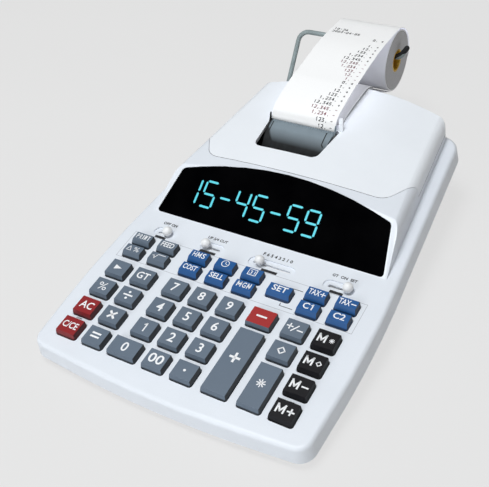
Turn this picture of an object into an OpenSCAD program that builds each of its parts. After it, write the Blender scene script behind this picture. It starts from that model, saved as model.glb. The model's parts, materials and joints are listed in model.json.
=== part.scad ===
// Desk printing calculator: a sloping keyboard, a raised display and printer hump,
// and a paper roll on a wire arm behind the machine.
// X is to the right, Y to the back and Z up. The origin is on the desk under the middle of the box.

/* [Keyboard] */
// Distance between neighbouring key columns
column_pitch = 23; // [21.5:0.25:26]
// Distance between neighbouring digit rows
row_pitch = 19.8; // [18.6:0.2:23]
// Distance between the two rows of function keys
function_pitch = 13.2; // [12.9:0.1:16]
// Extra room between the left columns and the digits
block_gap = 5.5; // [2:0.5:10]
// Shift of the keys to the left of the middle of the case
key_shift = 1; // [0:0.25:3]
// Extra room on each side of the plus and minus column
wide_gap = 2.75; // [2:0.25:6]
// Width of a key at the deck
key_w = 17.4; // [14:0.2:18.4]
// Depth of a key at the deck
key_d = 15.3; // [12:0.1:16.2]
// Width of the plus and minus keys
wide_key_w = 19.8; // [16:0.2:21]
// Width of the zero key
zero_key_w = 23.6; // [18:0.2:24.4]
// Width of a function key
function_key_w = 16.6; // [13:0.2:18]
// Depth of a function key
function_key_d = 10.9; // [8:0.1:11.2]
// Width of the set key
set_key_w = 19.3; // [15:0.1:20.6]
// How far a key goes down
key_travel = 3; // [1:0.25:3.5]
// Height of a pressed key above the deck
key_proud = 1.4; // [1:0.1:3]
// Radius of the upright edges of a key
key_r = 1.8; // [0.8:0.1:3]
// Lean of a key's sides from the deck to the top
key_side_lean = 0.8; // [0.2:0.1:2]
// Lean of a key's front from the deck to the top
key_front_lean = 1.4; // [0.4:0.1:3]
// Lean of a function key's front from the deck to the top
function_front_lean = 3; // [1:0.1:4]
// Clearance round a key in the deck
key_gap = 0.45; // [0.35:0.05:0.6]
// Reach of a key's retaining ears under the deck
key_ear = 1; // [0.6:0.1:1.2]

/* [Case] */
// Slope of the deck
deck_tilt = 7; // [5:0.5:9]
// Height of the rim round the deck
rim_h = 13.3; // [12:0.1:20]
// Height of the front rim above the desk
rim_lift = 5.5; // [5.5:0.25:12]
// Lean of the rim from its lower edge to its rounded edge
rim_lean = 1.4; // [0.5:0.1:3]
// Radius of the rounded upper edge of the rim
rim_r = 3.2; // [1.5:0.1:5]
// Thickness of the deck
deck_t = 2.5; // [2:0.1:3.5]
// Wall of the hump, the cover and the lower case
wall = 3; // [2.4:0.1:4]
// Deck in front of the first key row
front_margin = 19.25; // [14:0.25:30]
// Deck beside the outer key columns, at the front corners
side_margin = 14.8; // [12:0.1:24]
// Outward bow of the sides, beside the keys
side_bulge = 4.8; // [3:0.2:7]
// Radius of the bowed sides
side_bow_r = 900; // [600:10:1000]
// Radius of the bowed front edge
front_bow_r = 900; // [700:10:1200]
// Angle of the front edge at its corners
front_bow = 4.85; // [2:0.05:5.5]
// Radius of the bowed rear edge
rear_bow_r = 220; // [190:5:225]
// Angle of the rear edge at its corners
rear_bow = 19; // [14:0.5:20]
// Radius of the front corners in plan
corner_r = 12; // [9:0.5:20]
// Radius of the rear corners in plan
rear_corner_r = 18; // [14:0.5:20]
// Width of the case at the back
rear_w = 196.8; // [190:0.2:220]
// Lean of the lower case's sides, across for each unit of height
lower_lean = 0.5; // [0.2:0.05:0.6]
// Diameter of the rubber feet
foot_d = 14; // [8:1:20]
// Height of the rubber feet
foot_h = 3; // [2:0.25:3]
// Bore of the cord inlet
cord_bore = 7; // [5:0.5:10]

/* [Switches] */
// Distance from the upper function row to the switch row
switch_offset = 14.8; // [13:0.2:20]
// Diameter of the switch knobs
knob_d = 7.7; // [6:0.1:9]
// Width of the knob recesses
recess_w = 9.6; // [9.4:0.1:11]
// Depth of the knob recesses
recess_depth = 1; // [0.5:0.1:1.4]
// Width of the slots under the knobs
stem_slot_w = 2.4; // [2:0.1:4]

/* [Display] */
// Distance from the switch row to the foot of the display slope
slope_offset = 18.4; // [16:0.2:26]
// Slope of the display against the deck
lens_slope = 27.5; // [24:0.5:32]
// Thickness of the display lens
lens_t = 1.6; // [1.2:0.1:1.8]
// Distance from the foot of the slope to the lens
lens_foot = 1.4; // [1:0.1:4]
// Height of the lens at its upper corners, up the slope
lens_side_h = 41; // [34:0.5:44]
// Angle of the lens's upper edge at its corners
lens_bow = 17; // [8:0.5:18]
// Radius of the lens's bowed upper edge
lens_bow_r = 250; // [180:10:260]
// Frame beside the lens at the foot of the slope
lens_side_foot = 2.7; // [1.2:0.1:6]
// Frame beside the lens at its upper corners
lens_side_top = 7.2; // [6:0.1:14]
// Radius of the lens's lower corners
lens_r = 2.2; // [1:0.1:4]
// Clearance round the lens
lens_gap = 0.3; // [0.2:0.05:0.5]

/* [Hump and cover] */
// Deck beside the hump at the foot of the slope
ledge_front = 11.4; // [8:0.1:16]
// Deck beside the hump at the back
ledge_rear = 13; // [11:0.1:20]
// Height of the hump where the slope ends
hump_h = 24.6; // [23:0.1:30]
// Fall of the hump's top towards the back, against the deck
hump_fall = 1.5; // [0.5:0.25:3]
// Radius of the hump's crown
crown_r = 968; // [600:4:1200]
// Angle of the crown at the sides
crown_angle = 4; // [2:0.25:5]
// Radius along the hump's upper side edges
hump_r = 8; // [8:0.5:14]
// Radius along the hump's upper rear edge
hump_rear_r = 5; // [5:0.5:10]
// Lean of the hump's sides
hump_lean = 5; // [2:0.5:8]
// Distance from the foot of the slope to the front edge of the cover
cover_offset = 55; // [52:0.5:64]
// Width of the cover's front edge
cover_front_w = 152; // [140:1:160]
// Length of the cover
cover_l = 127; // [118:0.5:132]
// Seam round the cover
cover_gap = 0.4; // [0.3:0.05:0.6]
// Height of the case's upstand below the cover's side seam
cover_lift = 6; // [3:0.5:9]
// Ledge of deck under the cover's edge
cover_ledge = 4; // [2:0.25:6]

/* [Paper] */
// Width of the paper
paper_w = 57.5; // [54:0.5:58.5]
// Thickness of the paper strip
paper_t = 0.4; // [0.2:0.05:0.5]
// Middle of the paper, left of the middle of the machine
paper_shift = 18.75; // [12:0.25:22]
// Distance from the cover's front edge to the paper window
window_offset = 22.5; // [21:0.5:26]
// Front width of the paper window
window_w = 56; // [50:0.5:58]
// Radius of the window's front corners
window_r = 6; // [3:0.5:8]
// Clearance beside the tear plate in the window
tear_gap = 2; // [1:0.1:2.5]
// Distance from the front of the window to the tear edge
tear_offset = 33.5; // [32:0.5:35]
// Radius of the platen
platen_r = 7; // [6:0.25:7.5]
// Radius of the platen's shaft
shaft_r = 2.5; // [1.5:0.1:3.5]
// Distance from the case's back to the middle of the roll
roll_offset = 59; // [56:0.5:80]
// Height of the middle of the roll above the deck
roll_n = 8.6; // [4:0.2:14]
// Radius of the roll
roll_r = 27.6; // [22:0.2:28]
// Outer radius of the roll's core
core_r = 10.2; // [8.4:0.1:13]
// Wall of the roll's core
core_wall = 1.5; // [1:0.1:2]
// Clearance between the loose paper and the roll
paper_gap = 1.2; // [0.8:0.1:2]

/* [Wire arm] */
// Diameter of the wire
wire_d = 4.4; // [3:0.1:4.8]
// Bend radius of the wire
wire_bend = 9; // [6:0.5:12]
// Lean of the wire's leg against the deck
leg_lean = 47; // [40:0.5:55]
// Distance from the paper's left edge to the leg
leg_reach = 38.5; // [34:0.5:40]
// Step of the wire down to the roll
wire_step = 8.4; // [5:0.2:12]
// Droop of the wire through the roll
wire_droop = 2; // [0:0.25:4]
// Distance of the wire's foot below the rim
leg_drop = 9; // [7:0.5:12]
// Depth of the foot in its socket
leg_depth = 18; // [10:0.5:20]

/* [Hidden] */
$fn = 48;
arc_steps = 8;
key_steps = 4;
cut = 1;
run_gap = 0.3;
far = 260;

// Key columns from the left and rows from the front, with the 5 key at the origin of the deck
columns_half = (7 * column_pitch + block_gap + 2 * wide_gap) / 2;
key_h = key_travel + key_proud;
function column(i) = i * column_pitch - columns_half - key_shift
    + (i > 1 ? block_gap : 0) + (i > 4 ? wide_gap : 0) + (i > 5 ? wide_gap : 0);
function row(j) = j < 5 ? (j - 2) * row_pitch : 2 * row_pitch + function_pitch;

KEY_NAMES = [
    ["key_clear", "key_equals", "", "key_00", "key_point", "", "", "key_memory_plus"],
    ["key_all_clear", "key_multiply", "key_1", "key_2", "key_3", "", "", "key_memory_minus"],
    ["key_percent", "key_divide", "key_4", "key_5", "key_6", "", "key_subtotal", "key_memory_subtotal"],
    ["key_shift", "key_grand_total", "key_7", "key_8", "key_9", "key_minus", "key_sign", "key_memory_total"],
    ["key_delta", "key_root", "key_cost", "key_sell", "key_margin", "", "key_c1", "key_c2"],
    ["key_print", "key_feed", "key_hms", "key_clock", "key_calendar", "", "key_tax_plus", "key_tax_minus"],
];

function key_colour(i, j) =
    j > 3 ? (i < 2 ? "dimgray" : "royalblue")
    : i == 7 ? "black"
    : i == 0 && j < 2 ? "firebrick" : "slategray";

// A key is its name, place across and along the deck, width, depth, front lean and colour
function grid_key(i, j) = [KEY_NAMES[j][i], column(i), row(j),
    j > 3 ? function_key_w : i == 5 ? wide_key_w : key_w, j > 3 ? function_key_d : key_d,
    j > 3 ? function_front_lean : key_front_lean, key_colour(i, j)];
KEYS = concat(
    [for (j = [0:5], i = [0:7]) if (KEY_NAMES[j][i] != "") grid_key(i, j)],
    [
        ["key_0", column(2) + (key_w - zero_key_w) / 2, row(0), zero_key_w, key_d, key_front_lean, "slategray"],
        ["key_plus", column(5), row(1), wide_key_w, key_d + 2 * row_pitch, key_front_lean, "slategray"],
        ["key_total", column(6), row(0.5), key_w, key_d + row_pitch, key_front_lean, "slategray"],
        ["key_set", column(5), (row(4) + row(5)) / 2, set_key_w, function_key_d, function_front_lean, "royalblue"],
    ]);

// A switch is its name, the middle of its recess, the recess's length and the knob's place, 0 left to 1 right
SWITCHES = [
    ["power_switch", column(0) + 9.4, 17.7, 1],
    ["rounding_switch", column(2) + 2.5, 20, 0],
    ["decimal_switch", column(4) + 7.5, 38, 1 / 6],
    ["total_switch", column(6) + 10, 24, 1],
];

// Places along the deck, counted from the middle of the 5 key
front_s = -row(0) + key_d / 2 + front_margin;
switch_s = row(5) + switch_offset;
slope_s = switch_s + slope_offset;
cover_s = slope_s + cover_offset;
rear_s = cover_s + cover_l;
window_s = cover_s + window_offset;
tear_s = window_s + tear_offset;
roll_s = rear_s + roll_offset;
paper_x = -paper_shift;

// Height of the deck over the desk, and the shift that puts the middle of the box over the origin
deck_z = rim_lift + rim_h * cos(deck_tilt) + front_s * sin(deck_tilt);
tape_r = roll_r + paper_gap + paper_t / 2;
front_y = rim_h * sin(deck_tilt) - front_s * cos(deck_tilt);
back_y = roll_s * cos(deck_tilt) - roll_n * sin(deck_tilt) + tape_r + paper_t / 2;
shift_y = -(front_y + back_y) / 2;

// Plan of the case at the lower edge of its rim, or drawn in to the lower case's floor
side_s = (row(3) + row(4)) / 2;
case_front_half = columns_half + key_shift + key_w / 2 + side_margin;
case_side_half = case_front_half + side_bulge;
case_rear_half = rear_w / 2;
bow_tip = -front_s - front_bow_r * (1 / cos(front_bow) - 1);
case_corner_s = bow_tip + case_front_half * tan(front_bow);
function bow_rise(r) = r * (1 / cos(rear_bow) - 1);
rear_corner_s = rear_s + bow_rise(rear_bow_r) - case_rear_half * tan(rear_bow);
function case_plan(front_half, side_half, rear_half, front_in, rear_in, rear_r) =
    let (tip = rear_s - rear_in + bow_rise(rear_r), corner_at = tip - rear_half * tan(rear_bow))
    [[-front_half, case_corner_s + front_in], [0, bow_tip + front_in], [front_half, case_corner_s + front_in],
     [side_half, side_s], [rear_half, corner_at], [0, tip], [-rear_half, corner_at], [-side_half, side_s]];
function case_radii(rear_r) = [corner_r, front_bow_r, corner_r, side_bow_r,
    rear_corner_r, rear_r, rear_corner_r, side_bow_r];
CASE_PLAN = case_plan(case_front_half, case_side_half, case_rear_half, 0, 0, rear_bow_r);
CASE_RADII = case_radii(rear_bow_r);
rim_inset = rim_lean + rim_r;
function case_half(s) = case_side_half
    + (case_rear_half - case_side_half) * (s - side_s) / (rear_corner_s - side_s);

// Hump: half widths at its foot, its taper in plan and the height of its top along the deck
hump_rear_s = rear_s - rim_lean;
hump_front_half = case_half(slope_s) - ledge_front;
hump_rear_half = case_rear_half - ledge_rear;
hump_bow_r = rear_bow_r * hump_rear_half / case_rear_half;
hump_taper = atan((hump_front_half - hump_rear_half) / (rear_corner_s - slope_s));
crown_s = slope_s + hump_h / tan(lens_slope);
function hump_top(s) = hump_h - (s - crown_s) * tan(hump_fall);
function hump_half(s) = hump_front_half - (s - slope_s) * tan(hump_taper);

// Lens outline on its slope
lens_foot_half = hump_front_half - lens_side_foot;
lens_top_half = hump_half(slope_s + lens_side_h * cos(lens_slope)) - lens_side_top;
LENS_PLAN = [[-lens_foot_half, lens_foot], [lens_foot_half, lens_foot], [lens_top_half, lens_side_h],
    [0, lens_side_h + lens_top_half * tan(lens_bow)], [-lens_top_half, lens_side_h]];
LENS_RADII = [lens_r, lens_r, 2 * lens_r, lens_bow_r, 2 * lens_r];
lens_seat = 6;

// Cover outline in plan; its sides run past the hump's
cover_wing = hump_front_half + 2;
COVER_PLAN = [[-cover_front_w / 2, cover_s], [cover_front_w / 2, cover_s], [cover_wing, cover_s + 44],
    [cover_wing, rear_s + 20], [-cover_wing, rear_s + 20], [-cover_wing, cover_s + 44]];
COVER_RADII = [14, 14, 30, 8, 8, 30];

// Paper path: the platen, the feed slot behind it and the frame round them
platen_s = tear_s + 6;
platen_n = 2;
paper_wrap_r = platen_r + 0.6 + paper_t / 2;
slot_front_s = platen_s + paper_wrap_r - 2.2;
slot_back_s = slot_front_s + 7;
frame_half = paper_w / 2 + 3;
plate_t = 2.4;
shaft_gap = 0.25;
floor_z = foot_h + wall;
function deck_n(s, z) = (z - deck_z - s * sin(deck_tilt)) / cos(deck_tilt);

// Wire arm: the run hangs in the top of the core at the roll's left end
wire_r = wire_d / 2;
paper_left = paper_x - paper_w / 2;
paper_right = paper_x + paper_w / 2;
wire_n = roll_n + core_r - core_wall - wire_r - 2 * run_gap;
leg_x = paper_left - leg_reach;
corner_n = wire_n + wire_step;
leg_n = -rim_h - leg_drop;
socket_s = rear_corner_s - 4;
LEG_FOOT = [leg_x, socket_s - leg_depth, leg_n];
LEG_BEND = [leg_x, roll_s - (corner_n - leg_n) / tan(leg_lean), leg_n];

// Shared shapes
function unit(v) = v / norm(v);

// One rounded corner of a convex outline that runs anticlockwise
function corner(p, before, after, r, inset, steps) =
    let (a = unit(before - p), b = unit(after - p), half = acos(a * b) / 2,
         c = p + unit(a + b) * r / sin(half), t = p + a * r / tan(half) - c,
         start = atan2(t.y, t.x), sweep = 180 - 2 * half)
    [for (k = [0:steps]) c + (r - inset) * [cos(start + sweep * k / steps), sin(start + sweep * k / steps)]];

function outline(v, r, inset = 0, steps = arc_steps) =
    let (m = len(v))
    [for (i = [0:m - 1]) each corner(v[i], v[(i + m - 1) % m], v[(i + 1) % m], r[i], inset, steps)];

function box_plan(w, d) = [[-w / 2, -d / 2], [w / 2, -d / 2], [w / 2, d / 2], [-w / 2, d / 2]];

module rounded_box(w, d, r, h, steps = key_steps)
    linear_extrude(h) polygon(outline(box_plan(w, d), [r, r, r, r], 0, steps));

// A rounded slot that runs across the machine
module stadium(l, w, h)
    linear_extrude(h) union() {
        square([l - w, w], center = true);
        for (side = [-1, 1]) translate([side * (l - w) / 2, 0]) circle(d = w);
    }

// A side profile, along the deck and up, drawn out across the machine
module across(x0, x1)
    translate([x0, 0, 0]) rotate([90, 0, 90]) linear_extrude(x1 - x0) children();

// A front profile, across and up, drawn out along the deck
module along(s0, s1)
    translate([0, s1, 0]) rotate([90, 0, 0]) linear_extrude(s1 - s0) children();

// A skin through closed rings of equal length, from the lowest up
module loft(rings) {
    m = len(rings[0]);
    k = len(rings);
    polyhedron(
        points = [for (r = rings) each r],
        faces = concat(
            [[for (i = [0:m - 1]) i]],
            [for (j = [0:k - 2], i = [0:m - 1])
                [j * m + i, (j + 1) * m + i, (j + 1) * m + (i + 1) % m, j * m + (i + 1) % m]],
            [[for (i = [m - 1:-1:0]) (k - 1) * m + i]]));
}

// From the deck, with the 5 key at its origin, to the machine's own frame
module on_deck()
    translate([0, shift_y, deck_z]) rotate([deck_tilt, 0, 0]) children();

function from_deck(p) = [p.x, shift_y + p.y * cos(deck_tilt) - p.z * sin(deck_tilt),
    deck_z + p.y * sin(deck_tilt) + p.z * cos(deck_tilt)];

module on_slope()
    translate([0, slope_s, 0]) rotate([lens_slope, 0, 0]) children();

// Case
module rim_form()
    loft(concat(
        [[for (p = outline(CASE_PLAN, CASE_RADII)) [p.x, p.y, -rim_h]]],
        [for (k = [0:4])
            [for (p = outline(CASE_PLAN, CASE_RADII, rim_lean + rim_r * (1 - cos(k * 22.5))))
                [p.x, p.y, rim_r * (sin(k * 22.5) - 1)]]]));

// Front view of the hump, with its right side at half and its other side far out
module hump_profile(half, inset) {
    top = hump_h + crown_r * (1 / cos(crown_angle) - 1);
    shoulder = (top - half * tan(crown_angle)) / (1 - tan(hump_lean) * tan(crown_angle));
    low = -2 * rim_h;
    polygon(outline(
        [[-far, low], [half - low * tan(hump_lean), low], [half - shoulder * tan(hump_lean), shoulder],
         [0, top], [-far, top - far * tan(crown_angle)]],
        [4, 4, hump_r, crown_r, 4], inset));
}

module hump_side(inset)
    translate([0, crown_s, 0]) rotate([-hump_fall, 0, hump_taper])
        along(-far, far) hump_profile(hump_half(crown_s), inset);

// Plan of the hump with its bowed rear, rounded over along the top; its sides stand just outside the hump's
module hump_block(inset) {
    low = -2 * rim_h;
    front_at = slope_s + 2 * low / tan(lens_slope);
    front_half = hump_half(front_at) + 0.3;
    rear_half = hump_rear_half + 0.3;
    tip = hump_rear_s + bow_rise(hump_bow_r);
    corner_at = tip - rear_half * tan(rear_bow);
    plan = [[-front_half, front_at], [front_half, front_at], [rear_half, corner_at], [0, tip],
        [-rear_half, corner_at]];
    radii = [hump_r, hump_r, rear_corner_r - 2 * wall, hump_bow_r, rear_corner_r - 2 * wall];
    r = hump_rear_r - inset;
    loft(concat(
        [[for (p = outline(plan, radii, inset)) [p.x, p.y, low]]],
        [for (k = [0:4]) [for (p = outline(plan, radii, inset + r * (1 - cos(k * 22.5))))
            [p.x, p.y, hump_top(p.y) + 0.2 - inset + r * (sin(k * 22.5) - 1)]]]));
}

// The raised form that holds the display and the printer; inset gives its inside
module hump_form(inset) {
    low = -2 * rim_h;
    front_top = hump_h + 0.2;
    back_at = rear_s + rear_corner_r;
    intersection() {
        hump_side(inset);
        mirror([1, 0, 0]) hump_side(inset);
        hump_block(inset);
        across(-far, far) polygon(outline(
            [[slope_s + low / tan(lens_slope), low], [back_at, low], [back_at, hump_top(back_at) + 0.2],
             [slope_s + front_top / tan(lens_slope), front_top]],
            [4, 4, 4, 10], inset));
    }
}

module hump_shell()
    difference() {
        hump_form(0);
        hump_form(wall);
        translate([-far, 0, -4 * rim_h]) cube([2 * far, 2 * far, 4 * rim_h]);
    }

module cover_block(grow, low)
    translate([0, 0, low]) linear_extrude(3 * hump_h) polygon(outline(COVER_PLAN, COVER_RADII, -grow));

module key_holes()
    for (k = KEYS) translate([k[1], k[2], -deck_t - cut])
        rounded_box(k[3] + 2 * key_gap, k[4] + 2 * key_gap, key_r + key_gap, deck_t + 2 * cut);

module switch_holes()
    for (w = SWITCHES) translate([w[1], switch_s, 0]) {
        translate([0, 0, -recess_depth]) stadium(w[2], recess_w, recess_depth + cut);
        translate([0, 0, -deck_t - cut])
            stadium(w[2] - recess_w + stem_slot_w, stem_slot_w, deck_t + 2 * cut);
    }

// Seat of the lens, and the display window behind it
module lens_holes() on_slope() {
    translate([0, 0, -lens_t - lens_gap])
        linear_extrude(far) polygon(outline(LENS_PLAN, LENS_RADII, -lens_gap));
    translate([0, (lens_side_h + lens_foot) / 2, -far / 4])
        rounded_box(2 * lens_top_half - 2 * lens_seat, lens_side_h - lens_foot - 2 * lens_seat, lens_seat, far / 2);
}

// Opening in the deck under the hump
module bay_plan(inset)
    polygon(outline(
        [[-hump_front_half, slope_s], [hump_front_half, slope_s],
         [hump_rear_half, rear_corner_s], [-hump_rear_half, rear_corner_s]],
        [10, 10, rear_corner_r, rear_corner_r], inset));

module upper_case() color("whitesmoke") on_deck()
    difference() {
        union() {
            difference() {
                rim_form();
                translate([0, 0, -rim_h - cut]) linear_extrude(rim_h - deck_t + cut)
                    polygon(outline(CASE_PLAN, CASE_RADII, rim_inset));
                translate([0, 0, -deck_t - cut]) linear_extrude(deck_t + 2 * cut)
                    bay_plan(wall + cover_ledge);
            }
            difference() {
                hump_shell();
                cover_block(cover_gap, cover_lift);
            }
        }
        key_holes();
        switch_holes();
        lens_holes();
    }

// Rings of the lower case: its floor, the lower edge of the rim and the lip inside the rim
function rim_z(s) = from_deck([0, s, -rim_h]).z;
function lower_rings(inset, floor_at, lip_n) =
    let (lip = rim_inset + run_gap + inset,
         top = outline(CASE_PLAN, CASE_RADII, lip),
         front_in = rim_lift - foot_h,
         side_in = lower_lean * (rim_z(side_s) - foot_h),
         rear_in = lower_lean * (rim_z(rear_s) - foot_h),
         rear_half = case_rear_half - rear_in,
         rear_r = rear_bow_r * rear_half / case_rear_half,
         low = outline(case_plan(case_front_half - front_in, case_side_half - side_in, rear_half,
                           front_in, rear_in, rear_r), case_radii(rear_r), lip))
    [[for (p = low) let (q = from_deck([p.x, p.y, deck_n(p.y, floor_at)])) [q.x, q.y, floor_at]],
     [for (p = top) from_deck([p.x, p.y, -rim_h])],
     [for (p = top) from_deck([p.x, p.y, lip_n])]];

lip_n = -rim_h + 4;
module lower_form() loft(lower_rings(0, foot_h, lip_n));

// Block under the rim that holds the foot of the wire arm
socket_w = 16;
socket_l = leg_depth + 6;
module socket_block() on_deck()
    translate([leg_x - socket_w / 2, socket_s - socket_l, leg_n - socket_w / 2 - 2])
        cube([socket_w, socket_l, -rim_h - run_gap - leg_n + socket_w / 2 + 2]);

module leg_bore() on_deck()
    translate(LEG_FOOT) rotate([-90, 0, 0]) cylinder(r = wire_r + run_gap, h = LEG_BEND.y - LEG_FOOT.y);

inlet_x = 40;
inlet_l = 28;
module cord_inlet(r, l)
    translate([inlet_x, from_deck([0, rear_s, -rim_h]).y - inlet_l / 2, floor_z + 14])
        rotate([90, 0, 0]) cylinder(r = r, h = l, center = true);

module lower_case() color("gainsboro")
    difference() {
        union() {
            difference() {
                lower_form();
                loft([for (j = [0, 2]) lower_rings(wall, floor_z, lip_n + cut)[j]]);
            }
            socket_block();
            intersection() {
                lower_form();
                cord_inlet(cord_bore / 2 + wall, inlet_l);
            }
        }
        leg_bore();
        cord_inlet(cord_bore / 2, inlet_l + 4);
    }

foot_x = columns_half - foot_d / 2;
foot_front_y = from_deck([0, row(0), 0]).y;
foot_back_y = from_deck([0, rear_s, -rim_h]).y - 3 * foot_d;
foot_back_x = case_rear_half - lower_lean * (rim_z(rear_s) - foot_h) - rim_inset - rear_corner_r;
module rubber_feet() color("black") {
    for (side = [-1, 1]) {
        translate([side * foot_x, foot_front_y, 0]) cylinder(d = foot_d, h = foot_h);
        translate([side * foot_back_x, foot_back_y, 0]) cylinder(d = foot_d, h = foot_h);
    }
}

module display_lens() color("black") on_deck() on_slope()
    translate([0, 0, -lens_t]) linear_extrude(lens_t) polygon(outline(LENS_PLAN, LENS_RADII));

// Printer cover with the paper window and the feed slot behind it
window_back_s = tear_s + 4;
WINDOW_PLAN = [[-window_w / 2, window_s], [window_w / 2, window_s],
    [paper_w / 2 + 3, window_back_s], [-paper_w / 2 - 3, window_back_s]];
module window_plan(inset)
    translate([paper_x, 0]) polygon(outline(WINDOW_PLAN, [window_r, window_r, 2, 2], inset));

module printer_cover() color("white") on_deck()
    difference() {
        intersection() {
            hump_shell();
            cover_block(0, cover_lift + cover_gap);
        }
        linear_extrude(2 * hump_h) window_plan(0);
        translate([paper_x, (slot_front_s + slot_back_s) / 2, 0])
            rounded_box(paper_w + 6, slot_back_s - slot_front_s, 1.5, 2 * hump_h);
    }

// Bowed tear plate from the front of the printer up to its toothed edge
tear_t = 1.5;
tear_rise = 1.8;
tear_bow_r = 45;
tear_foot = [window_s + 5, hump_top(window_s) - 15];
tear_tip = [tear_s, hump_top(tear_s) + tear_rise];
tear_tooth = 2;

// Points from a to b on an arc that bulges to the left of the way from a to b
function bulge(a, b, r, steps) =
    let (d = b - a, l = norm(d), c = (a + b) / 2 + [d.y, -d.x] / l * sqrt(r * r - l * l / 4),
         from = atan2(a.y - c.y, a.x - c.x), turn = -2 * asin(l / 2 / r))
    [for (k = [0:steps]) c + r * [cos(from + turn * k / steps), sin(from + turn * k / steps)]];

module tear_bar() color("slategray") on_deck() {
    tear_w = paper_w + 3;
    upper = bulge(tear_foot, tear_tip, tear_bow_r, arc_steps);
    lower = bulge(tear_foot + [tear_t, -tear_t / 2], tear_tip + [0, -tear_t], tear_bow_r, arc_steps);
    difference() {
        intersection() {
            across(paper_x - tear_w / 2, paper_x + tear_w / 2)
                polygon(concat(upper, [for (k = [arc_steps:-1:0]) lower[k]]));
            linear_extrude(2 * hump_h) window_plan(tear_gap);
        }
        along(tear_s - 6, tear_s + 6) for (x = [paper_left:tear_tooth:paper_right])
            polygon([[x, tear_tip.y + 0.1], [x + tear_tooth / 2, tear_tip.y - 0.8], [x + tear_tooth, tear_tip.y + 0.1]]);
    }
}

// Printer frame: side plates on the floor, bars between them and bearings for the platen
frame_front_s = window_s + 4;
frame_back_s = slot_back_s + 6;
frame_top_n = hump_top(frame_back_s) - wall - 3;
frame_foot_z = floor_z + 0.2;
bar_top = tear_foot.y - tear_t - run_gap;
base_n = deck_n(frame_back_s, floor_z) + 10;

module frame_plate(x)
    difference() {
        across(x, x + plate_t) polygon([
            [frame_front_s, deck_n(frame_front_s, frame_foot_z)], [frame_back_s, deck_n(frame_back_s, frame_foot_z)],
            [frame_back_s, platen_n], [platen_s + 10, frame_top_n],
            [platen_s - 6, frame_top_n], [frame_front_s, bar_top]]);
        across(x - cut, x + plate_t + cut) translate([platen_s, platen_n]) circle(r = shaft_r + shaft_gap);
    }

module frame_bar(s0, s1, low, high)
    across(paper_x - frame_half - cut, paper_x + frame_half + cut)
        translate([s0, low]) square([s1 - s0, high - low]);

module printer_frame() color("dimgray") on_deck() {
    frame_plate(paper_x - frame_half - plate_t);
    frame_plate(paper_x + frame_half);
    frame_bar(frame_front_s, frame_front_s + 7, bar_top - 16, bar_top);
    frame_bar(frame_front_s + 6, platen_s - paper_wrap_r - 2, bar_top - 16, bar_top - 8);
    frame_bar(frame_back_s - 3, frame_back_s, platen_n - 20, platen_n - 4);
    frame_bar(frame_front_s + 4, frame_back_s - 4, base_n, base_n + 3);
}

module platen_roller() color("darkslategray") on_deck()
    translate([paper_x, platen_s, platen_n]) rotate([0, 90, 0]) {
        cylinder(r = platen_r, h = 2 * frame_half - 2 * run_gap - 1, center = true);
        cylinder(r = shaft_r, h = 2 * frame_half + 2 * plate_t + 4, center = true);
    }

// Paper path from the roll, over the cover, round the platen and back over the roll
feed_lean = 33;
function around(c, r, from, to, steps) =
    [for (k = [0:steps]) c + r * [cos(from + (to - from) * k / steps), sin(from + (to - from) * k / steps)]];
function blend(a, b, c, d, t) =
    0.5 * (2 * b + (c - a) * t + (2 * a - 5 * b + 4 * c - d) * t * t + (3 * b - a - 3 * c + d) * t * t * t);
function spline(p, steps) =
    let (m = len(p))
    [for (i = [0:m - 2], k = [0:steps - 1])
        blend(p[max(i - 1, 0)], p[i], p[i + 1], p[min(i + 2, m - 1)], k / steps)];

roll_mid = [roll_s, roll_n];
platen_mid = [platen_s, platen_n];
PAPER_PATH = concat(
    spline([
        roll_mid - (roll_r + 0.8) * [sin(feed_lean), cos(feed_lean)],
        [roll_s - 50, roll_n - 0.3],
        [hump_rear_s + 5.6, hump_top(hump_rear_s) - 3.6],
        [hump_rear_s - 6.8, hump_top(hump_rear_s - 6.8) + 1.2],
        [hump_rear_s - 21.4, hump_top(hump_rear_s - 21.4) + 1.7],
        [slot_back_s + 4, hump_top(slot_back_s) + 0.9],
        [slot_back_s - 2.6, hump_top(slot_back_s) - 2],
        platen_mid + [paper_wrap_r, 6],
    ], 4),
    around(platen_mid, paper_wrap_r, 0, -180, 12),
    spline([
        platen_mid + [-paper_wrap_r, 6],
        tear_tip + [0.9, -4],
        tear_tip + [2.2, 2.4],
        tear_tip + [9.7, 9.2],
        tear_tip + [38, 14],
        [roll_s - 74, roll_n + 31],
        [roll_s - 35, roll_n + 32.4],
        roll_mid + tape_r * [cos(80), sin(80)],
    ], 4),
    around(roll_mid, tape_r, 76, -25, 14));

// A strip of even thickness along a path
function strip(p, t) =
    let (m = len(p),
         side = [for (i = [0:m - 1]) let (d = unit(p[min(i + 1, m - 1)] - p[max(i - 1, 0)])) [-d.y, d.x] * t / 2])
    concat([for (i = [0:m - 1]) p[i] + side[i]], [for (i = [m - 1:-1:0]) p[i] - side[i]]);

module paper_tape() color("white") on_deck()
    across(paper_left, paper_right) polygon(strip(PAPER_PATH, paper_t));

module ring_on_roll(r, bore, l) on_deck()
    translate([paper_x, roll_s, roll_n]) rotate([0, 90, 0]) difference() {
        cylinder(r = r, h = l, center = true, $fn = 96);
        cylinder(r = bore, h = l + 2 * cut, center = true);
    }

module paper_roll() color("white") ring_on_roll(roll_r, core_r, paper_w);
module roll_core() color("goldenrod") ring_on_roll(core_r, core_r - core_wall, paper_w);

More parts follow.
